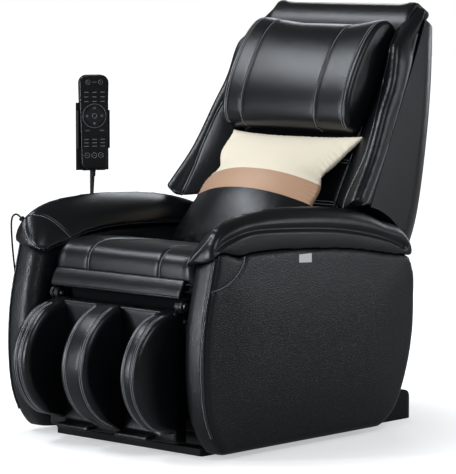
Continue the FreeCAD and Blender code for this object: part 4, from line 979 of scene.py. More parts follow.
def inflate(piece: Piece, plan: Padding) -> None:
    """Blow a piece up as a sewn leather bag, held at its seams, and cap how far it moves.

    Args:
        piece: Voxel mesh of the piece.
        plan: Its seams, and its cap in millimetres.
    """
    before = places(piece)
    held = piece.vertex_groups.new(name="held")
    tree = surface(piece)
    lines = [lay(tree, seam.guide).spots for seam in plan.seams]
    if lines:
        finder = point_tree(np.vstack(lines))
        near_seam = [k for k, spot in enumerate(before) if finder.find(spot)[2] < HELD_REACH * plan.cell * MM]
        held.add(near_seam, 1.0, "REPLACE")
    cloth = piece.modifiers.new("leather", "CLOTH")
    cloth.settings.vertex_group_mass = held.name
    cloth.settings.use_pressure = True
    cloth.settings.uniform_pressure_force = BAG_PRESSURE
    cloth.settings.effector_weights.gravity = 0.0
    cloth.settings.quality = BAG_QUALITY
    cloth.settings.tension_stiffness = BAG_STIFFNESS
    cloth.settings.compression_stiffness = BAG_STIFFNESS
    cloth.settings.bending_stiffness = 1.0
    scene = bpy.context.scene
    for number in range(1, BAG_FRAMES + 1):
        scene.frame_set(number)
    shown = piece.evaluated_get(bpy.context.evaluated_depsgraph_get())
    after = np.zeros(len(before) * 3)
    shown.data.vertices.foreach_get("co", after)
    move = after.reshape(-1, 3) - before
    length = np.linalg.norm(move, axis=1, keepdims=True)
    cap = plan.puff * MM
    move *= cap * np.tanh(length / cap) / np.maximum(length, 1e-9)
    piece.modifiers.remove(cloth)
    piece.vertex_groups.remove(held)
    scene.frame_set(1)
    set_places(piece, before + move)


# Backrest

LOOSE = Axes(Vector((0, 0.1102, 0.5956)), Vector((0, 0.7408, -0.6717)), Vector((0, 0.6717, 0.7408)))


@dataclass
class Backrest:
    """Everything padded that leans with the back, in the back's millimetres: across, deep and tall."""

    # Left wing: its two seams, its top thinned, narrowed and raised, and its foot let down to the arm.
    wing_piping: Route = (
        (222, -112, 712), (236, -121, 669), (256, -134, 628), (250, -114, 550), (259, -115, 507),
        (275, -121, 447), (284, -121, 375), (287, -122, 324), (283, -125, 273), (282, -130, 223),
        (285, -134, 160),
    )
    wing_stitching: Route = (
        (279, -29, 707), (287, -53, 642), (290, -56, 597), (293, -59, 545), (296, -60, 499),
        (299, -59, 450), (303, -63, 390), (318, -83, 324), (325, -91, 273), (333, -101, 217),
        (338, -106, 180),
    )
    wing_seam_deep: float = -74
    wing_back: float = -66.0
    wing_thinning: float = 0.6
    wing_thinning_span: Span = (630, 742)
    wing_narrowing: float = 0.035
    wing_narrowing_span: Span = (600, 700)
    wing_rise: float = 46
    wing_rise_span: Span = (650, 742)
    wing_foot_drop: float = 8
    wing_foot_span: Span = (165, 300)
    wing_foot_deep: Span = (66, 140)
    wing_foot_wide: Span = (232, 246)
    wing_corner_rise: float = 26
    wing_corner_span: Span = (165, 250)
    wing_corner_wide: Span = (288, 342)

    # Head pillow: its section behind and before its centre, its length, seams and lifted upper ends.
    bolster_centre: Point = (-128.0, 546.0)
    bolster_back: float = 44.0
    bolster_front: float = 64.0
    bolster_tall: float = 152.0
    bolster_half: float = 222.0
    bolster_edge: float = 15.0
    bolster_step: float = 3.0
    bolster_sides: int = 220
    bolster_puff: float = 2.5
    bolster_bulge: float = 9
    bolster_lift: float = 16
    bolster_lift_right: Span = (40, 225)
    bolster_lift_left: Span = (110, 225)
    bolster_lift_from: float = -20
    pillow_seams: Span = (-148, 110)
    pillow_ends: Span = (-205, 205)
    pillow_seam_centre: Point = (-95, 548)
    pillow_end_centre: Point = (-125, 530)
    pillow_turn: Span = (5, 175)

    # Back pad: the heights of its cross seams, how far they reach and from how far in front they are cast.
    pad_seams: tuple[float, ...] = (210, 330, 450, 570)
    pad_half: float = 200
    pad_front: float = -200

    # Top roll: its squared ends, its edge tucked in behind the head pillow, and its rounded front.
    cap_flat_half: float = 183.0
    cap_end: float = 58.0
    cap_radius: float = 62.0
    cap_middle: float = 736.0
    cap_foot: float = 724.0
    cap_tuck: float = 30
    cap_tuck_span: Span = (722, 748)
    cap_belly: float = 12
    cap_belly_deep: Span = (40, 80)
    cap_belly_foot: float = 690
    cap_belly_tall: float = 108

    # Loose pillow, in its own axes: its rim and tan band, pinched sides, drawn-out corners, dip and folds.
    loose_rim: Route = (
        (-214, -150), (-203, -80), (-200, 0), (-204, 80), (-214, 150), (-226, 192), (-232, 204),
        (-120, 205), (0, 206), (120, 205), (232, 204), (226, 192), (214, 150), (204, 80), (200, 0),
        (203, -80), (214, -150),
    )
    band_low: float = -21.0
    band_high: float = 44.0
    loose_half: float = 210
    pinch_share: float = 0.115
    pinch_at: float = 78
    pinch_reach: float = 34
    left_ear: float = 0.05
    right_ear: float = -0.075
    ear_span: Span = (120, 200)
    dip_depth: float = 12
    dip_span: Span = (120, 206)
    fold_depth: float = 9
    fold_share: float = -0.35
    fold_at: float = 72
    fold_reach: float = 20
    fold_wide: Span = (120, 200)

    maker: Upholsterer = field(default_factory=lambda: Upholsterer("backrest", "backrest"))

    def build(self) -> None:
        """Build the backrest's padded pieces."""
        for side in Side:
            self.wing(side)
        self.head_pillow()
        self.back_pad()
        self.top_cap()
        self.throw_pillow()
        self.maker.finish()

    def wing(self, side: Side) -> None:
        """Side wing with its piped inner edge and its twin-sewn outer edge.

        Args:
            side: Which wing.
        """
        def guide(points: Route) -> Guide:
            """Guide of one wing from its millimetres."""
            return near(BACK.place(side.value * x, min(d, self.wing_seam_deep), s) for x, d, s in points)

        name = side.name.lower() + "_wing"
        seams = [
            Seam(guide(self.wing_piping), width=6, depth=1.4, rows=(), bead=2.4),
            Seam(guide(self.wing_stitching), width=6, depth=1.2, rows=(-2.4, 2.4)),
        ]
        self.maker.pad(Padding(name, name + "_cover", cell=5.5, rounding=14, axes=BACK,
                               reshape=self.wing_shape, seams=seams))

    def wing_shape(self, rows: np.ndarray) -> np.ndarray:
        """Draw the wing's top up and back to the top of the back, and its lower end down to the arm.

        Args:
            rows: Its vertices in the back's millimetres.

        Returns:
            The same rows, moved.
        """
        s = rows[:, 2]
        thinned = 1 - self.wing_thinning * ramp(s, *self.wing_thinning_span)
        rows[:, 1] = self.wing_back + (rows[:, 1] - self.wing_back) * thinned
        rows[:, 0] *= 1 - self.wing_narrowing * ramp(s, *self.wing_narrowing_span)
        deep, wide = -rows[:, 1], np.abs(rows[:, 0])
        foot = (1 - ramp(s, *self.wing_foot_span)) * ramp(deep, *self.wing_foot_deep)
        foot = foot * ramp(wide, *self.wing_foot_wide)
        corner = (1 - ramp(s, *self.wing_corner_span)) * ramp(wide, *self.wing_corner_wide)
        rise = self.wing_rise * ramp(s, *self.wing_rise_span)
        rows[:, 2] = s + rise - self.wing_foot_drop * foot + self.wing_corner_rise * corner ** 2
        return rows

    def head_pillow(self) -> None:
        """Head pillow with two seams round its front and a twin-sewn seam round each end."""
        seams = []
        for x in self.pillow_seams:
            line = around(BACK, x, self.pillow_seam_centre, *self.pillow_turn)
            seams.append(Seam(line, width=5, depth=2.6, rows=(2.4,)))
        for x in self.pillow_ends:
            line = around(BACK, x, self.pillow_end_centre, *self.pillow_turn)
            seams.append(Seam(line, width=5, depth=2.4, rows=(-3.0, 3.0)))
        self.maker.pad(Padding("head_pillow", "head_pillow_cover", form=self.bolster, fill=0.9, sag=0.0,
                               seams=seams))

    def bolster(self) -> bpy.types.Mesh:
        """Head pillow as sewn: a bolster with a flat back, a round front and oval end panels.

        Returns:
            Closed mesh in metres.
        """
        turns = np.linspace(0, 2 * math.pi, self.bolster_sides, endpoint=False)
        back, up = np.cos(turns), np.sin(turns)
        deep = np.where(back > 0, self.bolster_back * np.abs(back) ** 0.4,
                        -self.bolster_front * np.abs(back) ** 0.92)
        tall = self.bolster_tall * np.sign(up) * np.abs(up) ** 0.88
        half, edge = self.bolster_half, self.bolster_edge
        rings = [(x, 0.0, 1.0) for x in np.arange(-half + edge, half - edge + 1, self.bolster_step)]
        for angle in np.radians(np.arange(15, 91, 15)):
            rings.append((half - edge + edge * math.sin(angle), edge * (1 - math.cos(angle)), 1.0))
        for share in (0.9, 0.78, 0.64, 0.48, 0.3, 0.12):
            rings.append((half + self.bolster_bulge * (1 - share ** 2), edge, share))
        rings = [(-x, inset, share) for x, inset, share in reversed(rings) if x > half - edge + 1] + rings
        low, high = self.pillow_seams
        rows = []
        for x, inset, share in rings:
            puff = self.bolster_puff * abs(math.sin(math.pi * (x - low) / (high - low))) * (share == 1.0)
            raised = ramp(abs(x), *(self.bolster_lift_right if x < 0 else self.bolster_lift_left))
            lift = self.bolster_lift * raised * ramp(tall, self.bolster_lift_from, self.bolster_tall)
            d = deep * share * (1 - inset / self.bolster_front) + puff * np.minimum(back, 0)
            s = (tall + lift) * share * (1 - inset / self.bolster_tall)
            across = np.full(len(turns), x)
            rows.append(np.column_stack([across, d + self.bolster_centre[0], s + self.bolster_centre[1]]))
        spots = BACK.outside(np.vstack(rows))
        return closed_mesh("head_pillow_form", spots, ring_faces(0, len(rings), len(turns)))

    def back_pad(self) -> None:
        """Flat panel between the wings with four cross seams."""
        seams = []
        for s in self.pad_seams:
            points = [BACK.place(x, self.pad_front, s) for x in (-self.pad_half, 0, self.pad_half)]
            seams.append(Seam(cast(points, BACK.deep), width=9, depth=3.0))
        self.maker.pad(Padding("back_pad", "back_pad_cover", cell=6.5, rounding=3, seams=seams))

    def top_cap(self) -> None:
        """Padded roll over the top edge."""
        self.maker.pad(Padding("top_cap", "top_cap_cover", cell=5.0, rounding=8, axes=BACK,
                               reshape=self.cap_shape))

    def cap_shape(self, rows: np.ndarray) -> np.ndarray:
        """Square the ends of the top roll, and tuck its lower edge in behind the head pillow.

        Args:
            rows: Its vertices in the back's millimetres.

        Returns:
            The same rows, moved.
        """
        x, s, foot = np.abs(rows[:, 0]), rows[:, 2], self.cap_foot
        over = np.clip(x - self.cap_flat_half, 0, self.cap_end)
        rounded = self.cap_middle + np.sqrt(self.cap_radius ** 2 - over ** 2)
        square = foot + (s - foot) * (self.cap_middle + self.cap_radius - foot) / (rounded - foot)
        rows[:, 2] = np.where(x > self.cap_flat_half, square, s)
        rows[:, 2] -= self.cap_tuck * (1 - ramp(rows[:, 2], *self.cap_tuck_span))
        front = ramp(-rows[:, 1], *self.cap_belly_deep)
        share = np.clip((rows[:, 2] - self.cap_belly_foot) / self.cap_belly_tall, 0, 1)
        rows[:, 1] -= self.cap_belly * front * np.sin(math.pi * share)
        return rows

    def throw_pillow(self) -> None:
        """Loose square pillow: cream cloth above, a tan band, and black leather below."""
        rim = near(LOOSE.place(x, 0, v) for x, v in self.loose_rim)
        piece = self.maker.pad(Padding("throw_pillow", "throw_pillow_cover", slot=Slot.PILLOW, cell=5.0,
                                       rounding=5, fill=0.7, puff=12.0, sag=0.9, axes=LOOSE,
                                       reshape=self.loose_shape, seams=[
            Seam(rim, width=16, depth=0.0, gather=1.1, rows=()),
        ]))
        work = bmesh.new()
        work.from_mesh(piece.data)
        for v in (self.band_low, self.band_high):
            bmesh.ops.bisect_plane(work, geom=work.verts[:] + work.edges[:] + work.faces[:], dist=1e-6,
                                   plane_co=LOOSE.place(0, 0, v), plane_no=LOOSE.tall)
        paint(piece, CREAM_CLOTH, TAN_SATIN, PILLOW_LEATHER)
        for face in work.faces:
            v = (face.calc_center_median() - LOOSE.origin).dot(LOOSE.tall) / MM
            face.material_index = 0 if v > self.band_high else 1 if v > self.band_low else 2
            face.smooth = True
        work.to_mesh(piece.data)
        work.free()

    def loose_shape(self, rows: np.ndarray) -> np.ndarray:
        """Pinch the loose pillow's sides above its band and draw its upper corners out.

        Args:
            rows: Its vertices in its own millimetres.

        Returns:
            The same rows, moved.
        """
        x, v = rows[:, 0], rows[:, 2]
        side = (np.abs(x) / self.loose_half) ** 2
        pinch = self.pinch_share * np.exp(-((v - self.pinch_at) / self.pinch_reach) ** 2) * side
        ear = np.where(x > 0, self.left_ear, self.right_ear) * ramp(v, *self.ear_span) * side
        dip = self.dip_depth * ramp(v, *self.dip_span) * (1 - side)
        fold = self.fold_depth * np.exp(-((v - self.fold_at) / self.fold_reach) ** 2)
        fold = fold * ramp(np.abs(x), *self.fold_wide)
        rows[:, 0] = x * (1 - pinch + ear)
        rows[:, 1] += np.sign(rows[:, 1]) * self.fold_share * fold
        rows[:, 2] = v - dip
        return rows


# Arms

@dataclass
class Arms:
    """Both arms: rolled pad above, flat side below. Routes are the left arm's, in millimetres."""

    roll_seam: Route = (
        (350, -412, 512), (350, -381, 532), (350, -310, 551), (350, -220, 554), (350, -42, 544),
        (350, 80, 530), (350, 198, 506), (350, 298, 472),
    )
    inner_piping: Route = (
        (253, -421, 456), (249, -320, 496), (249, -232, 510), (249, -157, 517), (249, -87, 519),
        (249, 78, 507),
    )
    patch_top: Route = ((326, -392, 556), (292, -362, 545), (250, -320, 500))
    patch_front: Route = ((328, -404, 547), (310, -420, 520), (280, -428, 490), (258, -428, 472))
    lip_span: Span = (385, 425)
    lip_height: float = 486
    lip_lift: float = 0.62
    lip_draw: float = 0.3
    front_edge: Route = ((341, -700, 60), (341, -700, 280), (341, -700, 495))
    corner_patch: Route = ((350, -309, 497), (350, -319, 474), (350, -351, 443), (350, -393, 422),
                           (350, -434, 415))
    panel_crown: float = 13.0
    panel_crown_reach: float = 200.0
    maker: Upholsterer = field(default_factory=lambda: Upholsterer("arms", "base"))

    def build(self) -> None:
        """Build both arms."""
        for side in Side:
            self.pad(side)
            self.panel(side)
        self.maker.finish()

    def spots(self, side: Side, points: Route) -> list[Vector]:
        """Places of one arm's route, in metres."""
        return [FLOOR.place(side.value * x, y, z) for x, y, z in points]

    def pad(self, side: Side) -> None:
        """Arm pad with its roll seam, inner piping and front patch.

        Args:
            side: Which arm.
        """
        name = side.name.lower() + "_arm_pad"
        self.maker.pad(Padding(name, name + "_cover", cell=6.0, rounding=4, reshape=self.lip_shape, seams=[
            Seam(near(self.spots(side, self.roll_seam)), width=12, depth=6.5, gather=0.0, rows=()),
            Seam(near(self.spots(side, self.inner_piping)), width=7, depth=1.8, rows=(), bead=2.2),
            Seam(near(self.spots(side, self.patch_top)), width=7, depth=2.0, rows=(2.0,)),
            Seam(near(self.spots(side, self.patch_front)), width=7, depth=2.0, rows=(2.0,)),
        ]))

    def lip_shape(self, rows: np.ndarray) -> np.ndarray:
        """Round off the inner lip of the arm pad at its front end.

        Args:
            rows: Its vertices in millimetres.

        Returns:
            The same rows, moved.
        """
        front = ramp(-rows[:, 1], *self.lip_span)
        low = np.clip(self.lip_height - rows[:, 2], 0, None)
        rows[:, 2] += self.lip_lift * low * front
        rows[:, 1] += self.lip_draw * low * front
        return rows

    def panel(self, side: Side) -> None:
        """Arm side with a piped front edge and a sewn corner patch.

        Args:
            side: Which arm.
        """
        name = side.name.lower() + "_arm_panel"
        edge = cast(self.spots(side, self.front_edge), FLOOR.deep)
        patch = near(self.spots(side, self.corner_patch))
        self.maker.pad(Padding(name, name + "_cover", PANEL_LEATHER, cell=7.5, rounding=3, sag=0.3,
                               crown=self.panel_crown, crown_reach=self.panel_crown_reach, seams=[
            Seam(edge, width=8, depth=1.8, rows=(-5.0,), bead=3.2),
            Seam(patch, width=8, depth=1.8, rows=(2.0,)),
        ]))


# Seat and leg rest

def rounded_block(name: str, centre: Point, size: Point, radius: float, segments: int) -> Piece:
    """Block with rounded edges, in the floor's millimetres.

    Args:
        name: Name of the piece.
        centre: Its middle.
        size: Its width, depth and height.
        radius: Radius of its edges.
        segments: Faces across each rounded edge.

    Returns:
        The piece.
    """
    bpy.ops.mesh.primitive_cube_add(size=1.0, location=FLOOR.place(*centre))
    piece = bpy.context.object
    piece.name = name
    piece.scale = [length * MM for length in size]
    bpy.ops.object.transform_apply(location=True, rotation=True, scale=True)
    shape(piece, "BEVEL", width=radius * MM, segments=segments)
    return piece


@dataclass
class CareTag:
    """Woven tag that hangs from the seam under the near arm, in millimetres."""

    centre: Point = (352.2, -97.5, 466)
    size: Point = (1.4, 47, 36)
    edge: float = 0.5

    def build(self) -> None:
        """Build the tag."""
        piece = rounded_block("care_tag_cloth", self.centre, self.size, self.edge, 2)
        paint(piece, TAG_CLOTH)
        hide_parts("care_tag")
        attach(piece, "base")
        report(piece)


@dataclass
class Seat:
    """Seat cushion, the calf flap below it and the wrapped seat board, in millimetres."""

    channels: tuple[float, ...] = (-124, 124)
    channel_centre: Point = (-230, 425)
    channel_turn: Span = (118, -60)
    low_piping: Route = ((-238, -700, 420), (0, -700, 420), (238, -700, 420))
    section_centre: Point = (-230, 430)
    section_at: float = 62
    section_reach: Span = (205, 236)
    lip_piping: Route = ((-224, -700, 391), (0, -700, 391), (224, -700, 391))
    board_centre: Point = (0, -363, 371)
    board_size: Point = (468, 22, 40)
    board_edge: float = 5

    def build(self) -> None:
        """Build the seat's padded pieces."""
        self.cushion()
        self.board_wrap()
        self.flap()

    def cushion(self) -> None:
        """Seat cushion with two sewn channels and a piped lower front edge."""
        maker = Upholsterer("seat", "base")
        seams = [Seam(around(FLOOR, x, self.channel_centre, *self.channel_turn), width=5, depth=3.0,
                      rows=(0.0,)) for x in self.channels]
        low = cast([FLOOR.place(*point) for point in self.low_piping], FLOOR.deep)
        seams.append(Seam(low, width=7, depth=2.0, rows=(), bead=2.0))
        straight = (self.section_centre, self.section_at, self.section_reach)
        maker.pad(Padding("seat_cushion", "seat_cushion_cover", cell=6.0, rounding=5, fill=0.85, puff=3.0,
                          sag=0.2, straight=straight, seams=seams))
        maker.finish()

    def board_wrap(self) -> None:
        """Dust cloth over the front edge of the seat board, in the deepest black as painted shade for the gap
        under the flap.
        """
        piece = rounded_block("seat_board_wrap", self.board_centre, self.board_size, self.board_edge, 3)
        # Its deepest black is painted shade for the gap between the flap and the fins.
        paint(piece, DUST_CLOTH_AS_SHADE)
        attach(piece, "base")
        report(piece)

    def flap(self) -> None:
        """Calf flap with a piped lip."""
        maker = Upholsterer("flap", "seat_flap")
        lip = cast([FLOOR.place(*point) for point in self.lip_piping], FLOOR.deep)
        maker.pad(Padding("seat_flap", "seat_flap_cover", cell=3.4, rounding=3, sag=0.4, seams=[
            Seam(lip, width=5, depth=1.0, rows=(), bead=1.5),
        ]))
        maker.finish()


@dataclass
class LegRest:
    """Three curved fins in front of a padded box, in millimetres."""

    middle_seams: Span = (-28, 28)
    left_seams: Span = (174, 204)
    right_seams: Span = (-203, -186)
    fin_centre: Point = (-440, 205)
    fin_turn: Span = (4, 176)
    fin_crown: float = 7.0
    fin_crown_reach: float = 55.0
    fin_draw: float = 35
    fin_draw_span: Span = (-490, -432)
    maker: Upholsterer = field(default_factory=lambda: Upholsterer("leg_rest", "leg_rest"))

    def build(self) -> None:
        """Build the leg rest's padded pieces."""
        self.maker.pad(Padding("leg_shell", "leg_shell_cover", cell=5.5, rounding=3))
        self.fin("middle_fin", self.middle_seams)
        self.fin("left_fin", self.left_seams)
        self.fin("right_fin", self.right_seams)
        self.maker.finish()

    def fin(self, node: str, seams: Span) -> None:
        """One fin with twin-sewn seams over its nose.

        Args:
            node: Its CAD node.
            seams: Where its seams run, across.
        """
        sewn = [Seam(around(FLOOR, x, self.fin_centre, *self.fin_turn), width=7, depth=2.2,
                     rows=(-2.2, 2.2)) for x in seams]
        drawn = None if node == "middle_fin" else self.fin_shape
        self.maker.pad(Padding(node, node + "_cover", cell=5.0, rounding=4, fill=0.85, sag=0.2,
                               crown=self.fin_crown, crown_reach=self.fin_crown_reach, reshape=drawn,
                               seams=sewn))

    def fin_shape(self, rows: np.ndarray) -> np.ndarray:
        """Draw an outer fin's back along the side of the box."""
        rows[:, 1] += self.fin_draw * ramp(rows[:, 1], *self.fin_draw_span)
        return rows


# Hand control

# Route of the cord from the strain relief down and up again into the arm, as in the part's own drawing.
# Here and in the two sizes below it is in metres.
CORD_POINTS = (
    (-0.392, -0.100, 0.636), (-0.391, -0.103, 0.602), (-0.390, -0.112, 0.541),
    (-0.389, -0.124, 0.474), (-0.388, -0.140, 0.404), (-0.387, -0.161, 0.336),
    (-0.386, -0.190, 0.272), (-0.386, -0.230, 0.220), (-0.385, -0.281, 0.197),
    (-0.385, -0.330, 0.216), (-0.385, -0.362, 0.268), (-0.384, -0.380, 0.334),
    (-0.384, -0.391, 0.402), (-0.385, -0.399, 0.466), (-0.386, -0.402, 0.520),
    (-0.3852, -0.4012, 0.5463), (-0.3755, -0.4008, 0.5564), (-0.3615, -0.4004, 0.5571),
    (-0.351, -0.399, 0.548),
)
CORD_DIAMETER = 0.005


@dataclass
class HandControl:
    """Printed marks and cord of the hand control. Marks are in millimetres on its upright front."""

    stand: Point = (-0.392, -0.100, 0.780)
    turn: float = 60.0
    face: float = -12.0
    key_face: float = -13.2
    ink: float = 0.5
    bar_rows: tuple[float, ...] = (-64, -55, -46, 54, 66, 78)
    bar_columns: tuple[float, ...] = (-22, 0, 22)
    top_row: float = 104.6
    top_keys: Span = (-17, 17)
    low_row: float = -88
    low_columns: tuple[float, ...] = (-20, -1, 17)
    pad_centre: Span = (0, 16)
    pad_ring: float = 31.3
    arrows: tuple[Span, ...] = ((0, 36), (0, -4), (-20, 16), (20, 16))
    oval_row: float = -22.5
    oval_keys: Span = (-20, 20)

    def build(self) -> None:
        """Build what the CAD pieces of the hand control don't have."""
        self.cord()
        self.print_marks()

    def cord(self) -> None:
        """Limp cord from the hand control's strain relief into the arm."""
        curve = bpy.data.curves.new("handset_cord_line", "CURVE")
        curve.dimensions = "3D"
        spline = curve.splines.new("NURBS")
        spline.points.add(len(CORD_POINTS) - 1)
        for point, spot in zip(spline.points, CORD_POINTS):
            point.co = (*spot, 1.0)
        spline.order_u = 3
        spline.use_endpoint_u = True
        spline.resolution_u = 12
        curve.bevel_depth = CORD_DIAMETER / 2
        curve.bevel_resolution = 5
        curve.use_fill_caps = True
        piece = linked("handset_cord_line", curve)
        curve.materials.append(material(RUBBER))
        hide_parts("handset_cord")
        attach(piece, "base")
        report(piece)

    def print_marks(self) -> None:
        """Printed bars and rings on the glossy front and on each key, a little proud of them."""
        face, key = self.face, self.key_face
        front = [self.bar(face, x, z, 12 if z < 0 else 11, 1.5)
                 for z in self.bar_rows for x in self.bar_columns]
        front.append(self.bar(face, 0, self.top_row, 12, 1.0))
        front += [self.ring(face, x, self.top_row, 5.9, 0.45) for x in self.top_keys]
        for x in self.low_columns:
            front += [self.ring(face, x, self.low_row, 6.6, 0.5), self.bar(face, x, self.low_row, 4.0, 1.2)]
        front.append(self.ring(face, *self.pad_centre, self.pad_ring, 0.5))
        self.mark("handset_print", "base", front)
        arrows = [self.ring(key, x, z, 2.2, 0.6) for x, z in self.arrows]
        self.mark("direction_pad_print", "direction_pad", arrows)
        self.mark("stop_key_print", "stop_key", [self.ring(key, *self.pad_centre, 6.0, 0.6)])
        for name, x in zip(("left_oval_key", "right_oval_key"), self.oval_keys):
            self.mark(name + "_print", name, [self.bar(key, x, self.oval_row, 9, 1.4)])
        for name, x in zip(("power_key", "timer_key"), self.top_keys):
            self.mark(name + "_print", name, [self.bar(key, x, self.top_row, 3, 1.0)])

    def mark(self, name: str, body: str, marks: list[Piece]) -> None:
        """Join printed marks into one piece that rides on the body that they are printed on.

        Args:
            name: Name of the piece.
            body: CAD body that it rides on.
            marks: The marks.
        """
        take(*marks)
        if len(marks) > 1:
            bpy.ops.object.join()
        piece = marks[0]
        piece.name = name
        self.place(piece)
        paint(piece, PRINT)
        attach(piece, body)
        report(piece)

    def bar(self, front: float, x: float, z: float, wide: float, tall: float) -> Piece:
        """Thin printed bar.

        Args:
            front: Depth of the surface that it is printed on.
            x: Its middle across.
            z: Its middle in height.
            wide: Its width.
            tall: Its height.

        Returns:
            The bar, built facing -Y.
        """
        bpy.ops.mesh.primitive_cube_add(size=MM, location=FLOOR.place(x, front - 0.1, z))
        piece = bpy.context.object
        piece.scale = (wide, self.ink, tall)
        bpy.ops.object.transform_apply(location=True, rotation=True, scale=True)
        return piece

    def ring(self, front: float, x: float, z: float, radius: float, thick: float) -> Piece:
        """Thin printed ring.

        Args:
            front: Depth of the surface that it is printed on.
            x: Its middle across.
            z: Its middle in height.
            radius: Its radius.
            thick: Half its line's width.

        Returns:
            The ring, built facing -Y.
        """
        bpy.ops.mesh.primitive_torus_add(
            location=FLOOR.place(x, front, z), rotation=(math.pi / 2, 0, 0), major_radius=radius * MM,
            minor_radius=thick * MM, major_segments=48, minor_segments=8)
        bpy.ops.object.transform_apply(location=True, rotation=True, scale=True)
        return bpy.context.object

    def place(self, piece: Piece) -> None:
        """Turn a piece built facing -Y with the hand control and set it in its place."""
        turn = Matrix.Rotation(math.radians(self.turn), 4, "Z")
        piece.data.transform(Matrix.Translation(Vector(self.stand)) @ turn)


# Hard pieces that show as their CAD nodes

FINISHES = {
    Slot.LEATHER: LEATHER,
    Slot.MOULDED: MOULDED,
    Slot.GLOSS: GLOSS,
    Slot.ENAMEL: ENAMEL,
    Slot.ZINC: ZINC,
    Slot.PLYWOOD: PLYWOOD,
    Slot.CASTING: CASTING,
    Slot.NYLON: NYLON,
    Slot.RUBBER: RUBBER,
    Slot.TAG: TAG_CLOTH,
    Slot.KEYS: KEYS,
    Slot.PILLOW: CREAM_CLOTH,
}


def paint_hard_pieces() -> None:
    """Give each CAD node that shows the finish of its material slot."""
    for row in frame["record"]["subparts"]:
        node = frame["nodes"][row["node"]]
        if not node.hide_render:
            finish = FINISHES[Slot(row["material_slot"])]
            paint(node, finish)
            log.info("%s: %s", row["node"], finish.name)


# Studio

@dataclass(frozen=True)
class Softbox:
    """An area light: where it stands as seen from the chair, its size and its brightness."""

    name: str
    azimuth: float
    rise: float
    reach: float
    wide: float
    tall: float
    radiance: float


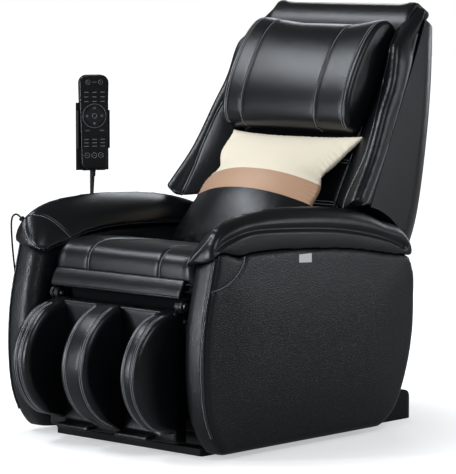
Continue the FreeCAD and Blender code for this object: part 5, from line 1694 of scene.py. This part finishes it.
@dataclass
class Studio:
    """Camera, lights, floor and surroundings, in metres and degrees."""

    # Camera as solved from the photograph: focal length and picture height in pixels, and where it stands.
    focal: float = 2850.0
    picture_tall: float = 474.0
    sensor: float = 36.0
    turn: float = 43.0
    rise: float = 5.8
    reach: float = 7.35
    middle: Point = (0, 0, 0.494)

    # What each kind of ray sees of the white surroundings, and where the floor turns white round the chair.
    lamp_colour: str = "#f2f8ff"
    mirrored_backdrop: float = 0.15
    soft_light: float = 0.2
    seen_floor: float = 0.78
    mirrored_floor: float = 0.3
    floor_size: float = 40.0
    glow_reach: Span = (0.4, 1.05)
    glow_share: Span = (0.45, 1.0)

    # The key gives the broad highlights, the strip the narrow streaks on rounded fronts, the rim the bright
    # upper edges. Side and shell lift the near side of arm and back out of the black, and fill the rest.
    softboxes: tuple[Softbox, ...] = (
        Softbox("key", 140.0, 48.0, 3.2, 1.8, 0.5, 16.0),
        Softbox("strip", 114.0, 6.0, 3.4, 0.3, 1.6, 40.0),
        Softbox("rim", 238.0, 34.0, 3.4, 1.2, 0.5, 8.0),
        Softbox("side", -40.0, 10.0, 4.4, 1.3, 1.3, 4.2),
        Softbox("shell", -86.0, 12.0, 4.4, 0.6, 1.6, 7.0),
        Softbox("fill", 25.0, 36.0, 6.0, 2.0, 1.6, 9.0),
    )

    def build(self) -> None:
        """Set up the studio."""
        self.camera()
        for softbox in self.softboxes:
            self.light(softbox)
        self.floor()
        self.world()
        bpy.context.scene.view_settings.view_transform = "Standard"

    def camera(self) -> None:
        """Camera at the photograph's viewing angle."""
        data = bpy.data.cameras.new("camera")
        data.sensor_width = self.sensor
        data.lens = self.focal * self.sensor / self.picture_tall
        camera = linked("camera", data)
        turn, rise = math.radians(self.turn), math.radians(self.rise)
        flat = math.cos(rise)
        back = Vector((math.sin(turn) * flat, -math.cos(turn) * flat, math.sin(rise)))
        self.aim(camera, back, self.reach)
        bpy.context.scene.camera = camera

    def aim(self, thing: Piece, away: Vector, reach: float) -> None:
        """Set a lamp or camera at a distance from the chair and turn it towards it."""
        thing.location = Vector(self.middle) + away * reach
        thing.rotation_euler = (-away).to_track_quat("-Z", "Y").to_euler()

    def light(self, softbox: Softbox) -> None:
        """Light aimed at the chair.

        Args:
            softbox: The light. Its azimuth is measured from +X towards -Y.
        """
        data = bpy.data.lights.new(softbox.name, "AREA")
        data.shape = "RECTANGLE"
        data.size = softbox.wide
        data.size_y = softbox.tall
        data.color = linear(self.lamp_colour)[:3]
        data.energy = softbox.radiance * math.pi * softbox.wide * softbox.tall
        turn, rise = math.radians(softbox.azimuth), math.radians(softbox.rise)
        away = Vector((math.cos(turn) * math.cos(rise), -math.sin(turn) * math.cos(rise), math.sin(rise)))
        self.aim(linked(softbox.name, data), away, softbox.reach)

    def floor(self) -> None:
        """Pale floor that shows white where it is lit and keeps the chair's shadow."""
        bpy.ops.mesh.primitive_plane_add(size=self.floor_size)
        floor = bpy.context.object
        floor.name = "floor"
        made = bpy.data.materials.new("white studio floor")
        made.use_nodes = True
        tree = made.node_tree
        tree.nodes.clear()
        path = add_node(tree, "LightPath")
        tone = add_node(tree, "MapRange", {
            "Value": path.outputs["Is Camera Ray"],
            "To Min": self.mirrored_floor, "To Max": self.seen_floor,
        })
        matte = add_node(tree, "BsdfDiffuse", {"Color": tone.outputs["Result"]})
        place = add_node(tree, "TexCoord").outputs["Object"]
        away = add_node(tree, "VectorMath", {0: place}, operation="LENGTH").outputs["Value"]
        strength = add_node(tree, "MapRange", {
            "Value": away, "From Min": self.glow_reach[0], "From Max": self.glow_reach[1],
            "To Min": self.glow_share[0], "To Max": self.glow_share[1],
        }, interpolation_type="SMOOTHSTEP")
        shown = add_node(tree, "Math", {0: strength.outputs["Result"], 1: self.shown(tree, path, 0.0)},
                         operation="MULTIPLY")
        glow = add_node(tree, "Emission", {"Color": linear("#ffffff"), "Strength": shown.outputs["Value"]})
        both = add_node(tree, "AddShader")
        tree.links.new(matte.outputs["BSDF"], both.inputs[0])
        tree.links.new(glow.outputs["Emission"], both.inputs[1])
        output = add_node(tree, "OutputMaterial")
        tree.links.new(both.outputs["Shader"], output.inputs["Surface"])
        floor.data.materials.append(made)

    def world(self) -> None:
        """White surroundings for the camera and dimmer ones for light."""
        world = bpy.data.worlds.new("studio")
        bpy.context.scene.world = world
        world.use_nodes = True
        tree = world.node_tree
        tree.nodes.clear()
        strength = self.shown(tree, add_node(tree, "LightPath"), self.soft_light)
        white = add_node(tree, "Background", {"Color": (1, 1, 1, 1), "Strength": strength})
        output = add_node(tree, "OutputWorld")
        tree.links.new(white.outputs["Background"], output.inputs["Surface"])

    def shown(self, tree: Tree, path: Node, matte_share: float) -> Socket:
        """Share of white that each kind of ray sees.

        Args:
            tree: Node tree that gets the nodes.
            path: Its light path node.
            matte_share: What matte surfaces receive.

        Returns:
            The share: 1 for the camera and through glass, less for reflections and matte surfaces.
        """
        share = path.outputs["Is Camera Ray"]
        for name, weight in (("Is Transmission Ray", 1.0), ("Is Glossy Ray", self.mirrored_backdrop),
                             ("Is Diffuse Ray", matte_share)):
            dimmed = add_node(tree, "Math", {0: path.outputs[name], 1: weight}, operation="MULTIPLY")
            most = add_node(tree, "Math", {0: share, 1: dimmed.outputs["Value"]}, operation="MAXIMUM")
            share = most.outputs["Value"]
        return share


def main() -> None:
    """Dress the chair and set up the studio."""
    logging.basicConfig(level=logging.INFO, format="%(message)s")
    Studio().build()
    HandControl().build()
    Backrest().build()
    Arms().build()
    Seat().build()
    LegRest().build()
    CareTag().build()
    paint_hard_pieces()


if __name__ == "__main__":
    main()
